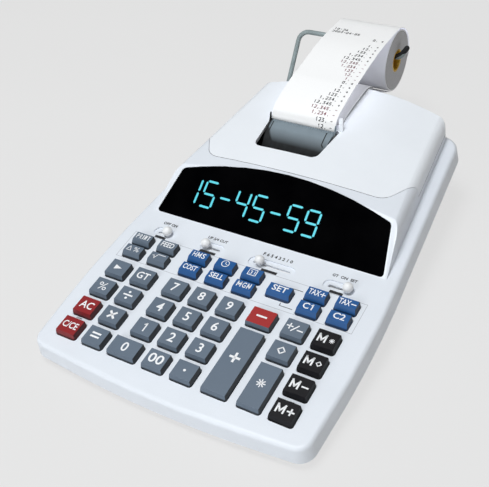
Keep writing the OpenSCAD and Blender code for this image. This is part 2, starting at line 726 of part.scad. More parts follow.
// Wire from its socket up to the corner, down a step, through the core and out to the turned-up tip
tip_x = paper_right + 3;
tip_n = wire_n - (tip_x - paper_left) * tan(wire_droop);
WIRE_POINTS = [LEG_FOOT, LEG_BEND, [leg_x, roll_s, corner_n], [paper_left - 13, roll_s, corner_n],
    [paper_left - 4, roll_s, wire_n], [tip_x, roll_s, tip_n], [tip_x + 5, roll_s + 4, tip_n + 8]];
WIRE_RADII = [0, wire_bend, wire_bend, wire_bend / 2, wire_bend / 2, wire_bend / 2];

function arc_at(p, a, b, r, steps) =
    let (u = unit(a - p), v = unit(b - p), half = acos(u * v) / 2,
         c = p + unit(u + v) * r / sin(half), t = p + u * r / tan(half) - c, e = p + v * r / tan(half) - c,
         sweep = 180 - 2 * half)
    [for (k = [0:steps]) c + (t * sin(sweep * (1 - k / steps)) + e * sin(sweep * k / steps)) / sin(sweep)];

WIRE_PATH = concat(
    [WIRE_POINTS[0]],
    [for (i = [1:5]) each arc_at(WIRE_POINTS[i], WIRE_POINTS[i - 1], WIRE_POINTS[i + 1], WIRE_RADII[i], 5)],
    [WIRE_POINTS[6]]);

// A round tube through points; lean is any way that the tube never runs
module tube(path, r, sides, lean) {
    m = len(path);
    loft([for (i = [0:m - 1])
        let (d = unit(path[min(i + 1, m - 1)] - path[max(i - 1, 0)]),
             u = unit(cross(d, lean)), v = cross(d, u))
        [for (k = [0:sides - 1]) path[i] + r * (u * cos(360 * k / sides) + v * sin(360 * k / sides))]]);
}

module paper_arm() color("gray") on_deck() tube(WIRE_PATH, wire_r, 14, [0.3, -1, 0.9]);

// Keys and switches
module key(k) color(k[6]) on_deck() translate([k[1], k[2], 0]) {
    w = k[3];
    d = k[4];
    skirt = deck_t + run_gap;
    ear_t = 1.4;
    intersection() {
        translate([0, 0, -skirt - cut / 2]) rounded_box(w, d, key_r, skirt + key_h + cut);
        across(-w, w) polygon([[-d / 2, -skirt - cut], [d / 2, -skirt - cut], [d / 2, 0],
            [d / 2 - key_side_lean / 2, key_h], [-d / 2 + k[5], key_h], [-d / 2, 0]]);
        along(-d, d) polygon([[-w / 2, -skirt - cut], [w / 2, -skirt - cut], [w / 2, 0],
            [w / 2 - key_side_lean, key_h], [-w / 2 + key_side_lean, key_h], [-w / 2, 0]]);
    }
    translate([-w / 2 - key_gap - key_ear, -d / 2, -skirt - ear_t])
        cube([w + 2 * (key_gap + key_ear), d, ear_t]);
}

// A round knob on a stem, with a slide plate under the deck
module switch_knob(w) color("white") on_deck() {
    reach = w[2] - recess_w;
    plate = 1.6;
    translate([w[1] + (w[3] - 0.5) * reach, switch_s, 0]) {
        translate([0, 0, knob_d / 2 - recess_depth + run_gap]) sphere(d = knob_d);
        translate([0, 0, -deck_t - run_gap - plate / 2])
            cylinder(d = stem_slot_w - 2 * run_gap, h = deck_t + knob_d / 2);
        translate([-recess_w / 2, -recess_w / 2, -deck_t - run_gap - plate]) cube([recess_w, recess_w, plate]);
    }
}

lower_case();
rubber_feet();
upper_case();
display_lens();
printer_cover();
tear_bar();
printer_frame();
platen_roller();
paper_tape();
paper_roll();
roll_core();
paper_arm();
for (k = KEYS) key(k);
for (w = SWITCHES) switch_knob(w);
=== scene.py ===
import json
import math

import bmesh
import bpy
import numpy as np
from mathutils import Matrix, Vector


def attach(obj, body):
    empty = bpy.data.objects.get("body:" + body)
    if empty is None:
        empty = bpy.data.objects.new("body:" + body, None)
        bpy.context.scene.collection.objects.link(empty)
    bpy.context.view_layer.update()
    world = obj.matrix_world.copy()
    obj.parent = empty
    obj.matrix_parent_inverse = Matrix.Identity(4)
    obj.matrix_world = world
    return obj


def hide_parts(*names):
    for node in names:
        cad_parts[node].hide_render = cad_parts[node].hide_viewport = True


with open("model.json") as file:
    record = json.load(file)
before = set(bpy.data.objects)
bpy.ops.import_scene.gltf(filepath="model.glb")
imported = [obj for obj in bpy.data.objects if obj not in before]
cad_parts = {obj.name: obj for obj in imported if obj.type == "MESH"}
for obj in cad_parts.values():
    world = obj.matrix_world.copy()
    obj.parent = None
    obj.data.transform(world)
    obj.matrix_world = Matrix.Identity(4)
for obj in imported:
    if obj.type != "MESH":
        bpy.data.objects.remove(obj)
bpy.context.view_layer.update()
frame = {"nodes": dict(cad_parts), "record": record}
nodes = frame["nodes"]
scene = bpy.context.scene

# The deck's own frame in millimetres: x across, s along the deck from the 5 key, n off the deck
TILT = math.radians(7)
DECK_Z, SHIFT_Y = 26.8052, -144.166
KEY_TOP = 4.4
SLOPE_S, LENS_SLOPE = 86.0, math.radians(27.5)
HUMP_H, HUMP_FALL = 24.6, math.radians(1.5)
HUMP_REAR_S = 266.6
PAPER_X, PAPER_W = -18.75, 57.5
PAPER_LEFT, PAPER_RIGHT = PAPER_X - PAPER_W / 2, PAPER_X + PAPER_W / 2
TEAR_S, TEAR_R, WINDOW_S = 197.0, 45, 163.5
PLATEN, WRAP_R, SLOT_BACK = (203.0, 2.0), 7.8, 215.6
ROLL, ROLL_R, CORE_R, TAPE_R = (327.0, 8.6), 27.6, 10.2, 29.0
UP = Vector((0, -math.sin(TILT), math.cos(TILT)))
BACK = Vector((0, math.cos(TILT), math.sin(TILT)))
ACROSS = (1, 0, 0)


def deck(x, s, n):
    """A place in the deck's frame, in metres of the shared frame."""
    return Vector((x, SHIFT_Y + s * math.cos(TILT) - n * math.sin(TILT),
                   DECK_Z + s * math.sin(TILT) + n * math.cos(TILT))) / 1000


def slope(x, t, h):
    """A place on the display slope: across, up the slope from its foot, and off it."""
    return deck(x, SLOPE_S + t * math.cos(LENS_SLOPE) - h * math.sin(LENS_SLOPE),
                t * math.sin(LENS_SLOPE) + h * math.cos(LENS_SLOPE))


def hump_top(s):
    """Height of the hump's top off the deck."""
    return HUMP_H - (s - SLOPE_S - HUMP_H / math.tan(LENS_SLOPE)) * math.tan(HUMP_FALL)


# Camera, fitted to the key grid in the photo: its place on the deck, its turn to the left, dip and roll
PICTURE_W, FOCAL_PIXELS, SENSOR_W = 489, 823.63, 36
EYE = (258.013, -267.289, 438.221)
CAMERA_TURN, CAMERA_DIP, CAMERA_ROLL = math.radians(37.8207), math.radians(44.8436), math.radians(11.7733)

camera = bpy.data.objects.new("camera", bpy.data.cameras.new("camera"))
scene.collection.objects.link(camera)
camera.data.sensor_width = SENSOR_W
camera.data.lens = SENSOR_W * FOCAL_PIXELS / PICTURE_W
aim = Matrix.Rotation(TILT, 4, "X") @ Matrix.Rotation(CAMERA_TURN, 4, "Z")
aim = aim @ Matrix.Rotation(math.pi / 2 - CAMERA_DIP, 4, "X") @ Matrix.Rotation(-CAMERA_ROLL, 4, "Z")
camera.matrix_world = Matrix.Translation(deck(*EYE)) @ aim
scene.camera = camera
scene.view_settings.view_transform = "Standard"

# Lamps
COOL, WARM = (0.955, 0.985, 1.0), (1.0, 0.985, 0.97)


def lamp(name, place, target, power, size, colour):
    data = bpy.data.lights.new(name, "AREA")
    data.energy, data.size, data.color = power, size, colour
    o = bpy.data.objects.new(name, data)
    o.location = place
    o.rotation_euler = (Vector(target) - Vector(place)).to_track_quat("-Z", "Y").to_euler()
    scene.collection.objects.link(o)


lamp("lamp_key", (-0.12, -0.3, 1.42), (0, 0, 0.03), power=14.2, size=0.5, colour=COOL)
lamp("lamp_front", (-0.15, -1.3, 0.55), (0, -0.05, 0.03), power=6.4, size=0.8, colour=COOL)
lamp("lamp_fill", (1.2, -0.35, 0.4), (0, 0.1, 0.05), power=0.6, size=0.9, colour=WARM)


# Materials
def linear(r, g, b):
    """A colour of three sRGB bytes as a linear colour."""
    parts = (r / 255, g / 255, b / 255)
    return tuple(c / 12.92 if c <= 0.04045 else ((c + 0.055) / 1.055) ** 2.4 for c in parts) + (1,)


def shade(colour, k):
    return tuple(min(1.0, c * k) for c in colour[:3]) + (1,)


NOISE_RANGE = (0.3, 0.7)
MIX_FACTOR, MIX_A, MIX_B, MIX_COLOUR = 0, 6, 7, 2


class Shader:
    """A material under construction: its node tree with short ways to add nodes."""

    def __init__(self, name):
        self.material = bpy.data.materials.new(name)
        self.material.use_nodes = True
        self.tree = self.material.node_tree
        self.out = self.tree.nodes["Material Output"]
        self.bsdf = self.tree.nodes["Principled BSDF"]
        self.place = self.node("ShaderNodeTexCoord").outputs["Object"]

    def feed(self, socket, value):
        """Link another node's output to a socket, or set a plain value there."""
        if hasattr(value, "is_output"):
            self.tree.links.new(value, socket)
        else:
            socket.default_value = value

    def node(self, kind, inputs=(), **settings):
        n = self.tree.nodes.new(kind)
        for key, value in settings.items():
            setattr(n, key, value)
        for key, value in dict(inputs).items():
            self.feed(n.inputs[key], value)
        return n

    def surface(self, key, value):
        self.feed(self.bsdf.inputs[key], value)

    def noise(self, scale, detail=3.0, rough=0.55):
        return self.node("ShaderNodeTexNoise", {"Vector": self.place, "Scale": scale, "Detail": detail,
                                                "Roughness": rough}).outputs["Fac"]

    def mix(self, factor, a, b):
        inputs = {MIX_FACTOR: factor, MIX_A: a, MIX_B: b}
        return self.node("ShaderNodeMix", inputs, data_type="RGBA").outputs[MIX_COLOUR]

    def remap(self, value, low, high, to_low, to_high):
        return self.node("ShaderNodeMapRange", {"Value": value, "From Min": low, "From Max": high,
                                                "To Min": to_low, "To Max": to_high}).outputs["Result"]

    def spread(self, scale, low, high, detail=3.0, rough=0.55):
        """Noise brought from its usual range to one of its own."""
        return self.remap(self.noise(scale, detail, rough), *NOISE_RANGE, low, high)

    def drift(self, colour, dark, light, scale, detail, rough=0.55):
        """A colour that wanders between a darker and a lighter shade of itself."""
        return self.mix(self.spread(scale, 0, 1, detail, rough), shade(colour, dark), shade(colour, light))

    def gloss(self, scale, low, high):
        """An uneven gloss, between two values of roughness."""
        self.surface("Roughness", self.spread(scale, low, high))

    def maths(self, kind, a, b=0.0):
        return self.node("ShaderNodeMath", {0: a, 1: b}, operation=kind).outputs[0]

    def dot(self, a, b):
        return self.node("ShaderNodeVectorMath", {0: a, 1: b}, operation="DOT_PRODUCT").outputs["Value"]

    def facing(self, way):
        """How far the surface faces a fixed way of the object, from -1 to 1."""
        return self.dot(self.node("ShaderNodeTexCoord").outputs["Normal"], way)

    def along(self, axis):
        """How far a point lies from the deck's middle along a fixed way of the object, in metres."""
        return self.maths("SUBTRACT", self.dot(self.place, axis), deck(0, 0, 0).dot(axis))

    def bump(self, height, strength, distance):
        n = self.node("ShaderNodeBump", {"Height": height, "Strength": strength, "Distance": distance})
        self.surface("Normal", n.outputs["Normal"])


def moulded(name, colour, rough=0.42, vary=0.05, grain=1400, relief=0.00004, specular=0.45, sides=None):
    """Moulded plastic: a fine spark-eroded grain, slow colour drift and uneven gloss; sides, where given,
    paints shade over the colour.
    """
    m = Shader(name)
    fine = m.noise(grain, 2)
    base = m.drift(colour, 1 - vary, 1 + vary, 24, 4)
    base = m.mix(m.remap(fine, 0.35, 0.65, 0, 0.3), base, shade(colour, 0.94))
    if sides is not None:
        base = sides(m, base)
    m.surface("Base Color", base)
    m.gloss(60, rough - 0.06, rough + 0.06)
    m.surface("Specular IOR Level", specular)
    m.bump(fine, 0.5, relief)
    return m.material


# Where a keycap's painted tones change: by how far a face looks up or aside, and by the height of its foot in
# metres
TOP_FADE, SIDE_SHADE_FADE, FOOT_SHADOW_FADE = (0.45, 0.8), (0.4, 0.75), (0.0011, 0.0015)


def keycap(name, top, flank, side, front, foot, rough=0.46, specular=0.45):
    """A keycap's top, with shades of the flank's colour: sides darkened, partly the cap's own darker flank
    and partly painted shade, a front toned as light falls on it, and a painted shadow in the band at its
    foot.
    """
    def paint(m, base):
        # Painted tone on the front, as light falls on it
        painted_tone = m.mix(m.remap(m.facing(UP), *TOP_FADE, 1, 0), base, shade(flank, front))
        # Sides darkened: partly the cap's own darker flank, partly painted shade
        aside = m.maths("ABSOLUTE", m.facing(ACROSS))
        painted_tone = m.mix(m.remap(aside, *SIDE_SHADE_FADE, 0, 1), painted_tone, shade(flank, side))
        # Painted shadow in the band at the foot
        return m.mix(m.remap(m.along(UP), *FOOT_SHADOW_FADE, 1, 0), painted_tone, shade(flank, foot))
    return moulded(name, top, rough, specular=specular, sides=paint)


# Dark colour painted into the open joints round the cover as their shade
JOINT_SHADE = linear(58, 60, 66)


def painted_joint_shade(way, limit, along, off):
    """Painted shade in an open joint: faces that look one way, between places along the deck and heights off
    it, are darkened.
    """
    def paint(m, base):
        mask = m.maths("GREATER_THAN", m.facing(way), limit)
        for axis, (low, high) in ((BACK, along), (UP, off)):
            at = m.along(axis)
            mask = m.maths("MULTIPLY", mask, m.maths("GREATER_THAN", at, low / 1000))
            mask = m.maths("MULTIPLY", mask, m.maths("LESS_THAN", at, high / 1000))
        return m.mix(mask, base, JOINT_SHADE)
    return paint


# Painted shade in the cover's seam: on the case's face beneath it, and on the cover's own front edge
CASE_JOINT_SHADE = painted_joint_shade(UP, 0.95, (138, 290), (5.7, 6.3))
COVER_JOINT_SHADE = painted_joint_shade(-BACK, 0.75, (0, 158), (7, 40))
GREY, BLUE = linear(98, 112, 128), linear(26, 86, 148)
RED, BLACK = linear(142, 26, 32), linear(17, 16, 21)
MAT = {
    "case_upper": moulded("case_white", linear(229, 234, 242), 0.4, 0.018, sides=CASE_JOINT_SHADE),
    "cover": moulded("cover_white", linear(241, 245, 251), 0.38, 0.018, sides=COVER_JOINT_SHADE),
    "case_lower": moulded("case_lower_grey", linear(188, 192, 200), 0.5, grain=900, relief=0.00008),
    "feet": moulded("foot_rubber", linear(28, 28, 30), 0.75, grain=700, relief=0.0001, specular=0.25),
    "printer_frame": moulded("frame_black", linear(26, 27, 30), 0.6, specular=0.3),
    "platen": moulded("platen_rubber", linear(30, 31, 34), 0.7, specular=0.25),
    # Keycaps: side, front and foot set the painted shade and tone on those faces
    "key_grey": keycap("key_grey", GREY, GREY, side=0.1, front=0.95, foot=0.2),
    "key_blue": keycap("key_blue", BLUE, BLUE, side=0.14, front=0.9, foot=0.3),
    "key_red": keycap("key_red", RED, RED, side=0.3, front=0.8, foot=0.3),
    "key_black": keycap("key_black", BLACK, BLACK, side=0.5, front=1.1, foot=0.4, rough=0.5, specular=0.22),
    "switch_white": moulded("knob_white", linear(240, 241, 243), 0.3),
}
minus_red = keycap("key_minus", linear(162, 36, 36), GREY, side=0.12, front=0.95, foot=0.2)


def lens_material():
    m = Shader("lens_black")
    m.surface("Base Color", m.mix(m.spread(40, 0, 1), linear(1, 1, 2), linear(5, 5, 6)))
    m.gloss(90, 0.2, 0.3)
    m.surface("IOR", 1.02)
    m.bump(m.noise(300, 2), 0.1, 0.00001)
    return m.material


# The tear plate's painted shade in metres: dark at its foot, and dark at its left end, where the shade's edge
# leans with the height
SMOKE_FOOT_SHADE_Z, SMOKE_END_SHADE_X, SMOKE_END_SHADE_LEAN = (0.0655, 0.0725), (-0.0386, -0.0366), 0.008


def smoke_material():
    m = Shader("tear_smoke")
    xyz = m.node("ShaderNodeSeparateXYZ", {"Vector": m.place})
    # Painted shade: the plate dark at its foot, lighter higher up
    ramp = m.remap(xyz.outputs["Z"], *SMOKE_FOOT_SHADE_Z, 0, 1)
    tone = m.mix(ramp, linear(14, 15, 17), linear(128, 141, 150))
    # Painted shade on the plate's left end, its edge leaning with the height
    end = m.maths("ADD", xyz.outputs["X"], m.maths("MULTIPLY", ramp, SMOKE_END_SHADE_LEAN))
    tone = m.mix(m.remap(end, *SMOKE_END_SHADE_X, 1, 0), tone, linear(12, 13, 15))
    haze = m.remap(m.noise(120, 4), 0.35, 0.7, 0, 0.12)
    m.surface("Base Color", m.mix(haze, tone, linear(84, 92, 98)))
    m.gloss(70, 0.4, 0.5)
    m.surface("Specular IOR Level", 0.2)
    m.bump(m.noise(900, 2), 0.3, 0.00003)
    return m.material


def paper_finish(m):
    """The dull surface of paper."""
    m.gloss(400, 0.8, 0.95)
    m.surface("Specular IOR Level", 0.15)


def paper_material(name, colour, through=0.0):
    """Paper with a fine fibre; through is the strength of a painted glow that stands for the light coming
    through it from its other face.
    """
    m = Shader(name)
    m.surface("Base Color", m.drift(colour, 0.97, 1.02, 1200, 5, 0.7))
    paper_finish(m)
    m.bump(m.noise(2500, 4), 0.35, 0.00002)
    # Painted glow: emission in place of light that passes through the paper
    m.surface("Emission Color", linear(228, 232, 246))
    m.surface("Emission Strength", through)
    return m.material


# The roll's end faces: layers in a metre of radius, and a painted highlight on the rim with a dark line
# inside it
LAYERS, RIM_HIGHLIGHT_INSET = 4000.0, 0.0014


def roll_material():
    """Wound paper: fine rings on the ends, plain paper round the outside."""
    m = Shader("paper_roll_wound")
    axis = deck(PAPER_X, *ROLL)
    xyz = m.node("ShaderNodeSeparateXYZ", {"Vector": m.place})
    dy = m.maths("SUBTRACT", xyz.outputs["Y"], axis.y)
    dz = m.maths("SUBTRACT", xyz.outputs["Z"], axis.z)
    radius = m.maths("SQRT", m.maths("ADD", m.maths("MULTIPLY", dy, dy), m.maths("MULTIPLY", dz, dz)))
    layer = {"W": m.maths("MULTIPLY", radius, LAYERS), "Scale": 1.0, "Detail": 2.0}
    wound = m.node("ShaderNodeTexNoise", layer, noise_dimensions="1D").outputs["Fac"]
    ends = m.remap(m.maths("ABSOLUTE", m.facing(ACROSS)), 0.6, 0.9, 0, 1)
    rings = m.mix(m.remap(wound, 0.25, 0.75, 0, 1), linear(190, 190, 194), linear(222, 222, 225))
    rim = ROLL_R / 1000 - RIM_HIGHLIGHT_INSET
    # A dark line just inside the rim
    rings = m.mix(m.remap(radius, rim - 0.0007, rim - 0.0003, 0, 0.55), rings, linear(120, 122, 128))
    # Painted highlight on the rim
    rings = m.mix(m.remap(radius, rim - 0.0001, rim + 0.0001, 0, 1), rings, linear(246, 246, 250))
    outside = m.mix(m.noise(900), linear(246, 247, 253), linear(250, 251, 254))
    m.surface("Base Color", m.mix(ends, outside, rings))
    paper_finish(m)
    m.bump(wound, 0.3, 0.00006)
    return m.material


def core_material():
    m = Shader("core_card")
    spot = m.noise(420, 4, 0.7)
    gold = m.mix(m.remap(spot, 0.42, 0.6, 0, 1), linear(196, 142, 24), linear(250, 206, 66))
    m.surface("Base Color", m.mix(m.remap(m.noise(150), 0.5, 0.7, 0, 0.7), gold, linear(253, 226, 120)))
    m.gloss(200, 0.55, 0.75)
    m.bump(spot, 0.4, 0.00008)
    return m.material


def wire_material(name, colour, rough):
    m = Shader(name)
    m.surface("Base Color", m.drift(colour, 0.88, 1.08, 160, 4))
    m.gloss(300, rough - 0.08, rough + 0.08)
    m.bump(m.noise(1800, 2), 0.25, 0.00003)
    return m.material


def ink_material(name, colour, rough=0.5):
    m = Shader(name)
    cover = m.remap(m.noise(2600), 0.35, 0.7, 0, 1)
    m.surface("Base Color", m.mix(cover, shade(colour, 0.92), shade(colour, 1.06)))
    m.gloss(900, rough - 0.05, rough + 0.05)
    return m.material


def glow_material():
    m = Shader("display_glow")
    fine = m.spread(1500, 0, 1, 2)
    m.surface("Base Color", m.mix(fine, linear(40, 110, 120), linear(52, 126, 136)))
    m.surface("Emission Color", m.mix(fine, linear(66, 186, 204), linear(92, 216, 230)))
    m.surface("Emission Strength", 0.85)
    m.surface("Roughness", 0.5)
    return m.material


MAT["lens"] = lens_material()
MAT["tear_plate"] = smoke_material()
MAT["paper"] = paper_material("paper_white", linear(251, 251, 252))
MAT["paper_under_glow"] = paper_material("paper_under_glow", linear(247, 247, 249), 0.35)
MAT["core"] = core_material()
MAT["wire"] = wire_material("wire_grey", linear(140, 152, 154), 0.42)
LEGEND = ink_material("legend_white", linear(242, 243, 246))
INK = ink_material("ink_dark", linear(34, 34, 38))
INK_PALE = ink_material("ink_line", linear(176, 179, 186))
PRINT_DARK = ink_material("print_grey", linear(34, 34, 40), 0.8)
PRINT_RED = ink_material("print_red", linear(146, 92, 104), 0.8)

# Stage: the backdrop's tone, the share of it that the floor shows by itself, and the light from around
BACKDROP, FLOOR_GLOW, FLOOR_HALF = linear(230, 230, 230), 0.86, 6
SKY, SKY_STRENGTH = (1.0, 0.955, 0.89, 1), 0.17


def stage_floor():
    """A pale floor that takes soft shadows and looks like the backdrop."""
    m = Shader("floor_pale")
    m.surface("Base Color", m.mix(m.spread(6, 0, 1), linear(228, 228, 228), linear(232, 232, 232)))
    m.surface("Roughness", 0.9)
    glow = m.node("ShaderNodeEmission", {"Color": BACKDROP, "Strength": 1.0})
    seen = m.node("ShaderNodeLightPath").outputs
    direct = m.maths("MAXIMUM", seen["Is Camera Ray"], seen["Is Glossy Ray"])
    direct = m.maths("MAXIMUM", direct, seen["Is Transmission Ray"])
    share = m.maths("MULTIPLY", direct, FLOOR_GLOW)
    mixed = m.node("ShaderNodeMixShader", {0: share, 1: m.bsdf.outputs[0], 2: glow.outputs[0]})
    m.feed(m.out.inputs["Surface"], mixed.outputs[0])
    mesh = bpy.data.meshes.new("floor")
    corners = [(FLOOR_HALF * x, FLOOR_HALF * y, 0) for x, y in ((-1, -1), (1, -1), (1, 1), (-1, 1))]
    mesh.from_pydata(corners, [], [(0, 1, 2, 3)])
    floor = bpy.data.objects.new("floor", mesh)
    floor.data.materials.append(m.material)
    scene.collection.objects.link(floor)


def studio():
    """A world that lights the part dimly, and that the camera sees as the plain backdrop."""
    world = bpy.data.worlds.new("studio")
    scene.world = world
    world.use_nodes = True
    tree = world.node_tree
    sky = tree.nodes["Background"]
    sky.inputs["Color"].default_value = SKY
    sky.inputs["Strength"].default_value = SKY_STRENGTH
    plain = tree.nodes.new("ShaderNodeBackground")
    plain.inputs["Color"].default_value = BACKDROP
    path = tree.nodes.new("ShaderNodeLightPath")
    mixed = tree.nodes.new("ShaderNodeMixShader")
    tree.links.new(path.outputs["Is Camera Ray"], mixed.inputs[0])
    tree.links.new(sky.outputs[0], mixed.inputs[1])
    tree.links.new(plain.outputs[0], mixed.inputs[2])
    tree.links.new(mixed.outputs[0], tree.nodes["World Output"].inputs["Surface"])


stage_floor()
studio()

# CAD nodes: joined at their seams, softened along their edges and shaded by angle
WELD_REACH, FLAT_ANGLE = 2e-6, math.radians(0.6)
BEVEL_ANGLE, SMOOTH_ANGLE = math.radians(34), math.radians(32)
KEY_BEVEL, KEY_SEGMENTS = 0.0006, 3
BEVELS = {"upper_case": 0.0003, "printer_cover": 0.0004, "display_lens": 0.0003, "rubber_feet": 0.0006,
          "tear_bar": 0.0002}


def smooth_group():
    """Geometry nodes that shade smoothly, apart from edges sharper than an angle."""
    g = bpy.data.node_groups.new("smooth_by_angle", "GeometryNodeTree")
    g.interface.new_socket("Geometry", in_out="INPUT", socket_type="NodeSocketGeometry")
    g.interface.new_socket("Geometry", in_out="OUTPUT", socket_type="NodeSocketGeometry")
    start, end = g.nodes.new("NodeGroupInput"), g.nodes.new("NodeGroupOutput")
    smooth, sharp = g.nodes.new("GeometryNodeSetShadeSmooth"), g.nodes.new("GeometryNodeSetShadeSmooth")
    smooth.domain, sharp.domain = "FACE", "EDGE"
    sharp.inputs["Shade Smooth"].default_value = False
    angle, over = g.nodes.new("GeometryNodeInputMeshEdgeAngle"), g.nodes.new("FunctionNodeCompare")
    over.data_type, over.operation = "FLOAT", "GREATER_THAN"
    over.inputs[1].default_value = SMOOTH_ANGLE
    g.links.new(start.outputs[0], smooth.inputs["Geometry"])
    g.links.new(angle.outputs["Unsigned Angle"], over.inputs[0])
    g.links.new(over.outputs[0], sharp.inputs["Selection"])
    g.links.new(smooth.outputs[0], sharp.inputs["Geometry"])
    g.links.new(sharp.outputs[0], end.inputs[0])
    return g


SMOOTH = smooth_group()


def dress(name, material, bevel, segments=2):
    """A CAD node's finish, with a rounding along its edges where a width is given."""
    o = nodes[name]
    o.data.materials.clear()
    o.data.materials.append(material)
    o.modifiers.new("weld", "WELD").merge_threshold = WELD_REACH
    flat = o.modifiers.new("flat", "DECIMATE")
    flat.decimate_type, flat.angle_limit = "DISSOLVE", FLAT_ANGLE
    if bevel:
        edge = o.modifiers.new("edge", "BEVEL")
        edge.width, edge.segments = bevel, segments
        edge.limit_method, edge.angle_limit = "ANGLE", BEVEL_ANGLE
        edge.use_clamp_overlap = True
    o.modifiers.new("smooth", "NODES").node_group = SMOOTH
    o.modifiers.new("even", "WEIGHTED_NORMAL").keep_sharp = True


slots = {p["node"]: p["material_slot"] for p in frame["record"]["subparts"]}
bodies = {n: body for body, members in frame["record"]["behaviour"]["bodies"].items() for n in members}
for name in nodes:
    if name.startswith("key_"):
        dress(name, minus_red if name == "key_minus" else MAT[slots[name]], KEY_BEVEL, KEY_SEGMENTS)
    elif name not in ("paper_tape", "paper_roll"):
        dress(name, MAT[slots[name]], BEVELS.get(name, 0.0))


# New pieces
def piece(name, verts, faces, material, body, smooth=False, sharp=35):
    """A new mesh that rides on a body; edges over the sharp angle in degrees stay sharp."""
    mesh = bpy.data.meshes.new(name)
    mesh.from_pydata([tuple(v) for v in verts], [], faces)
    mesh.validate()
    o = bpy.data.objects.new(name, mesh)
    scene.collection.objects.link(o)
    b = bmesh.new()
    b.from_mesh(mesh)
    bmesh.ops.recalc_face_normals(b, faces=b.faces)
    for f in b.faces:
        f.smooth = smooth
    for e in b.edges:
        e.smooth = not (len(e.link_faces) == 2 and e.calc_face_angle(0) > math.radians(sharp))
    b.to_mesh(mesh)
    b.free()
    mesh.materials.append(material)
    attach(o, body)
    return o


class Plates:
    """Closed plates and blocks in one mesh; put lays a flat point and a height over it on a surface."""

    def __init__(self, put=None, thick=0.06):
        self.put, self.thick, self.verts, self.faces = put, thick, [], []

    def prism(self, low, high):
        """A closed prism between two loops of points in space."""
        k, m = len(self.verts), len(low)
        self.verts += low + high
        self.faces += [tuple(range(k + m, k + 2 * m)), tuple(range(k + m - 1, k - 1, -1))]
        self.faces += [(k + i, k + (i + 1) % m, k + m + (i + 1) % m, k + m + i) for i in range(m)]

    def box(self, across, along, off):
        """A block on the deck, from two places each way."""
        (x0, x1), (s0, s1) = sorted(across), sorted(along)
        corners = ((x0, s0), (x1, s0), (x1, s1), (x0, s1))
        self.prism(*([deck(x, s, n) for x, s in corners] for n in off))

    def polygon(self, points):
        area = sum(a[0] * b[1] - b[0] * a[1] for a, b in zip(points, points[1:] + points[:1]))
        points = points if area > 0 else points[::-1]
        self.prism(*([self.put(u, v, h) for u, v in points] for h in (0.0, self.thick)))

    def line(self, start, end, width):
        start, end = np.array(start, float), np.array(end, float)
        ahead = (end - start) / max(1e-9, np.linalg.norm(end - start)) * width / 2
        aside = np.array([-ahead[1], ahead[0]])
        corners = (start - ahead - aside, end + ahead - aside, end + ahead + aside, start - ahead + aside)
        self.polygon([tuple(p) for p in corners])

    def path(self, points, width, closed=False):
        for a, b in zip(points, points[1:] + (points[:1] if closed else [])):
            self.line(a, b, width)

    def ring(self, centre, radius, width, steps=28):
        inner, outer = radius - width / 2, radius + width / 2
        for i in range(steps):
            a, b = 2 * math.pi * i / steps, 2 * math.pi * (i + 1) / steps
            self.polygon([(centre[0] + r * math.cos(t), centre[1] + r * math.sin(t))
                          for r, t in ((inner, a), (outer, a), (outer, b), (inner, b))])

    def disc(self, centre, radius, steps=20):
        turns = [2 * math.pi * i / steps for i in range(steps)]
        self.polygon([(centre[0] + radius * math.cos(t), centre[1] + radius * math.sin(t)) for t in turns])

    def build(self, name, material, body):
        return piece(name, self.verts, self.faces, material, body)


def text_outline(text, bold):
    """Flat mesh of a word in Blender's own font: points and faces, one unit high."""
    curve = bpy.data.curves.new("word", "FONT")
    curve.body, curve.size, curve.resolution_u, curve.offset = text, 1.0, 3, bold
    curve.align_x, curve.align_y = "LEFT", "BOTTOM_BASELINE"
    o = bpy.data.objects.new("word", curve)
    scene.collection.objects.link(o)
    bpy.context.view_layer.update()
    mesh = bpy.data.meshes.new_from_object(o.evaluated_get(bpy.context.evaluated_depsgraph_get()))
    points = [(v.co.x, v.co.y) for v in mesh.vertices]
    faces = [tuple(p.vertices) for p in mesh.polygons]
    bpy.data.objects.remove(o)
    bpy.data.curves.remove(curve)
    bpy.data.meshes.remove(mesh)
    return points, faces


MOST_STRETCH = 1.25
LIGHT, BOLD, HEAVY = 0.012, 0.016, 0.03


def word(plates, text, centre, height, width=None, bold=LIGHT):
    """A word fitted to a height, and to a width where one is given, about its centre."""
    points, faces = text_outline(text, bold)
    points = np.array(points)
    low, high = points.min(0), points.max(0)
    scale = np.array([1.0, 1.0]) * height / (high[1] - low[1])
    if width:
        scale[0] = min(width / (high[0] - low[0]), scale[0] * MOST_STRETCH)
    points = (points - (low + high) / 2) * scale + np.array(centre)
    k, m = len(plates.verts), len(points)
    for h in (0.0, plates.thick):
        plates.verts += [plates.put(u, v, h) for u, v in points]
    edges = dict.fromkeys(pair for f in faces for pair in zip(f, f[1:] + f[:1]))
    for f in faces:
        plates.faces += [tuple(k + m + i for i in f), tuple(k + i for i in reversed(f))]
    plates.faces += [(k + a, k + b, k + m + b, k + m + a) for a, b in edges if (b, a) not in edges]


